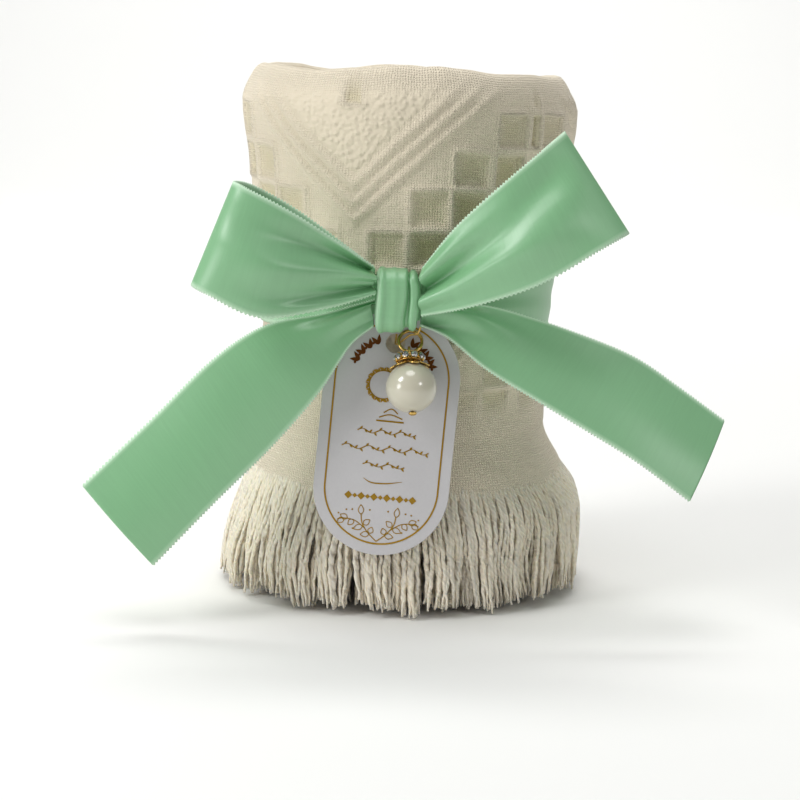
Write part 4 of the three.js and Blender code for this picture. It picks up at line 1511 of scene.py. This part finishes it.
class TOWEL_OT_bow(bpy.types.Operator):
    """Builds the waist band, the knot, the loops and the tails"""
    bl_idname = "towel.bow"
    bl_label = "Satin bow"

    def execute(self, context):
        settings = settings_of(context, "towel_ribbon_settings")
        look = looks(context)["satin"]
        band, length = waist_band(settings, look)
        settle(band, "root", "satin_ribbon", "ribbon_waist_band")
        core, length = knot_core(settings, look)
        settle(core, "root", "satin_ribbon", "ribbon_knot_core")
        wrap, length = knot_wrap(settings, look)
        settle(wrap, "root", "satin_ribbon", "ribbon_knot_wrap")
        parts = ((left_loop, "loop_left", -1), (right_loop, "loop_right", 1),
                 (left_tail, "tail_left", -1), (right_tail, "tail_right", 1))
        for build, body, side in parts:
            piece, length = build(settings, look)
            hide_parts("ribbon_" + body)
            root = KNOT + Vector((side * ROOT * MM, 0, 0))
            bend_end = root + Vector((side * BEND_LENGTH, 0, 0))
            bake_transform(piece, "root", body, start=root, end=bend_end)
            "folded" if "loop" in body else "draped"
        return {"FINISHED"}


class TOWEL_OT_tag(bpy.types.Operator):
    """Builds the card tag and its foil"""
    bl_idname = "towel.tag"
    bl_label = "Card tag"

    def execute(self, context):
        settings = settings_of(context, "towel_tag_settings")
        made = looks(context)
        settle(build_card(made["card"]), "tag", "tag_card", "tag_card")
        # The garlands get the foil with the painted dark reflection.
        for piece in (tag_border(settings, made["foil"]), tag_ornament(made["foil"]),
                      tag_wreath(made["foil"]), tag_arc(made["painted_dark_reflection_foil"])):
            settle(piece, "tag", "tag_card")
        return {"FINISHED"}


class TOWEL_OT_charm(bpy.types.Operator):
    """Builds the thread, the jump ring and the pearl charm"""
    bl_idname = "towel.charm"
    bl_label = "Thread and charm"

    def execute(self, context):
        settings = settings_of(context, "towel_charm_settings")
        made = looks(context)
        route = thread_route()
        thread = tube("hang_thread_cord", route, CORD_RADIUS, made["thread"])
        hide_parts("hang_thread")
        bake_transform(thread, "root", "thread", start=route[0], end=route[20])
        ring = ring_of(RING_PLACE @ Matrix.Translation((0, 0, -RING_RADIUS)), RING_RADIUS, RING_WIRE,
                       UPRIGHT, "jump_ring_wire", made["gold"])
        settle(ring, "ring", "gold_metal", "jump_ring")
        eye = ring_of(CHARM_PLACE, EYE_RADIUS, EYE_WIRE, SIDEWAYS, "eye_loop", made["gold"], around=48)
        settle(eye, "charm", "gold_metal")
        settle(build_pin(made["gold"]), "charm", "gold_metal", "eye_pin")
        settle(build_collar(made["gold"]), "charm", "gold_metal", "rhinestone_collar")
        settle(build_cap(settings, made["gold"]), "charm", "gold_metal", "bead_cap")
        settle(build_pearl(made["pearl"]), "charm", "pearl", "pearl")
        for index in range(STONES):
            stone, cup = build_stone(index, made["glass"], made["gold"])
            settle(stone, "charm", "rhinestone", f"rhinestone_{index + 1}")
            settle(cup, "charm", "gold_metal")
        return {"FINISHED"}


OPERATORS = (
    TOWEL_OT_stage, TOWEL_OT_fringe, TOWEL_OT_cloth, TOWEL_OT_bow, TOWEL_OT_tag, TOWEL_OT_charm)
SETTINGS = {"towel_cloth_settings": TowelSettings, "towel_ribbon_settings": RibbonSettings,
            "towel_tag_settings": TagSettings, "towel_charm_settings": CharmSettings,
            "towel_stage_settings": StageSettings}


class TOWEL_PT_panel(bpy.types.Panel):
    """Lists the steps that build the towel, and their settings"""
    bl_idname = "TOWEL_PT_panel"
    bl_label = "Rolled towel"
    bl_space_type = "VIEW_3D"
    bl_region_type = "UI"
    bl_category = "Towel"

    def draw(self, context):
        for operator in OPERATORS:
            self.layout.operator(operator.bl_idname)
        for name, group in SETTINGS.items():
            box = self.layout.box()
            for prop in group.__annotations__:
                box.prop(getattr(context.scene, name), prop)


def register():
    for group in SETTINGS.values():
        bpy.utils.register_class(group)
    for name, group in SETTINGS.items():
        setattr(bpy.types.Scene, name, PointerProperty(type=group))
    for operator in OPERATORS:
        bpy.utils.register_class(operator)
    bpy.utils.register_class(TOWEL_PT_panel)


def unregister():
    bpy.utils.unregister_class(TOWEL_PT_panel)
    for operator in reversed(OPERATORS):
        bpy.utils.unregister_class(operator)
    for name, group in SETTINGS.items():
        delattr(bpy.types.Scene, name)
        bpy.utils.unregister_class(group)


def main():
    register()
    bpy.ops.towel.stage()
    bpy.ops.towel.fringe()
    bpy.ops.towel.cloth()
    bpy.ops.towel.bow()
    bpy.ops.towel.tag()
    bpy.ops.towel.charm()
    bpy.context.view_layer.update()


if __name__ == "__main__":
    main()
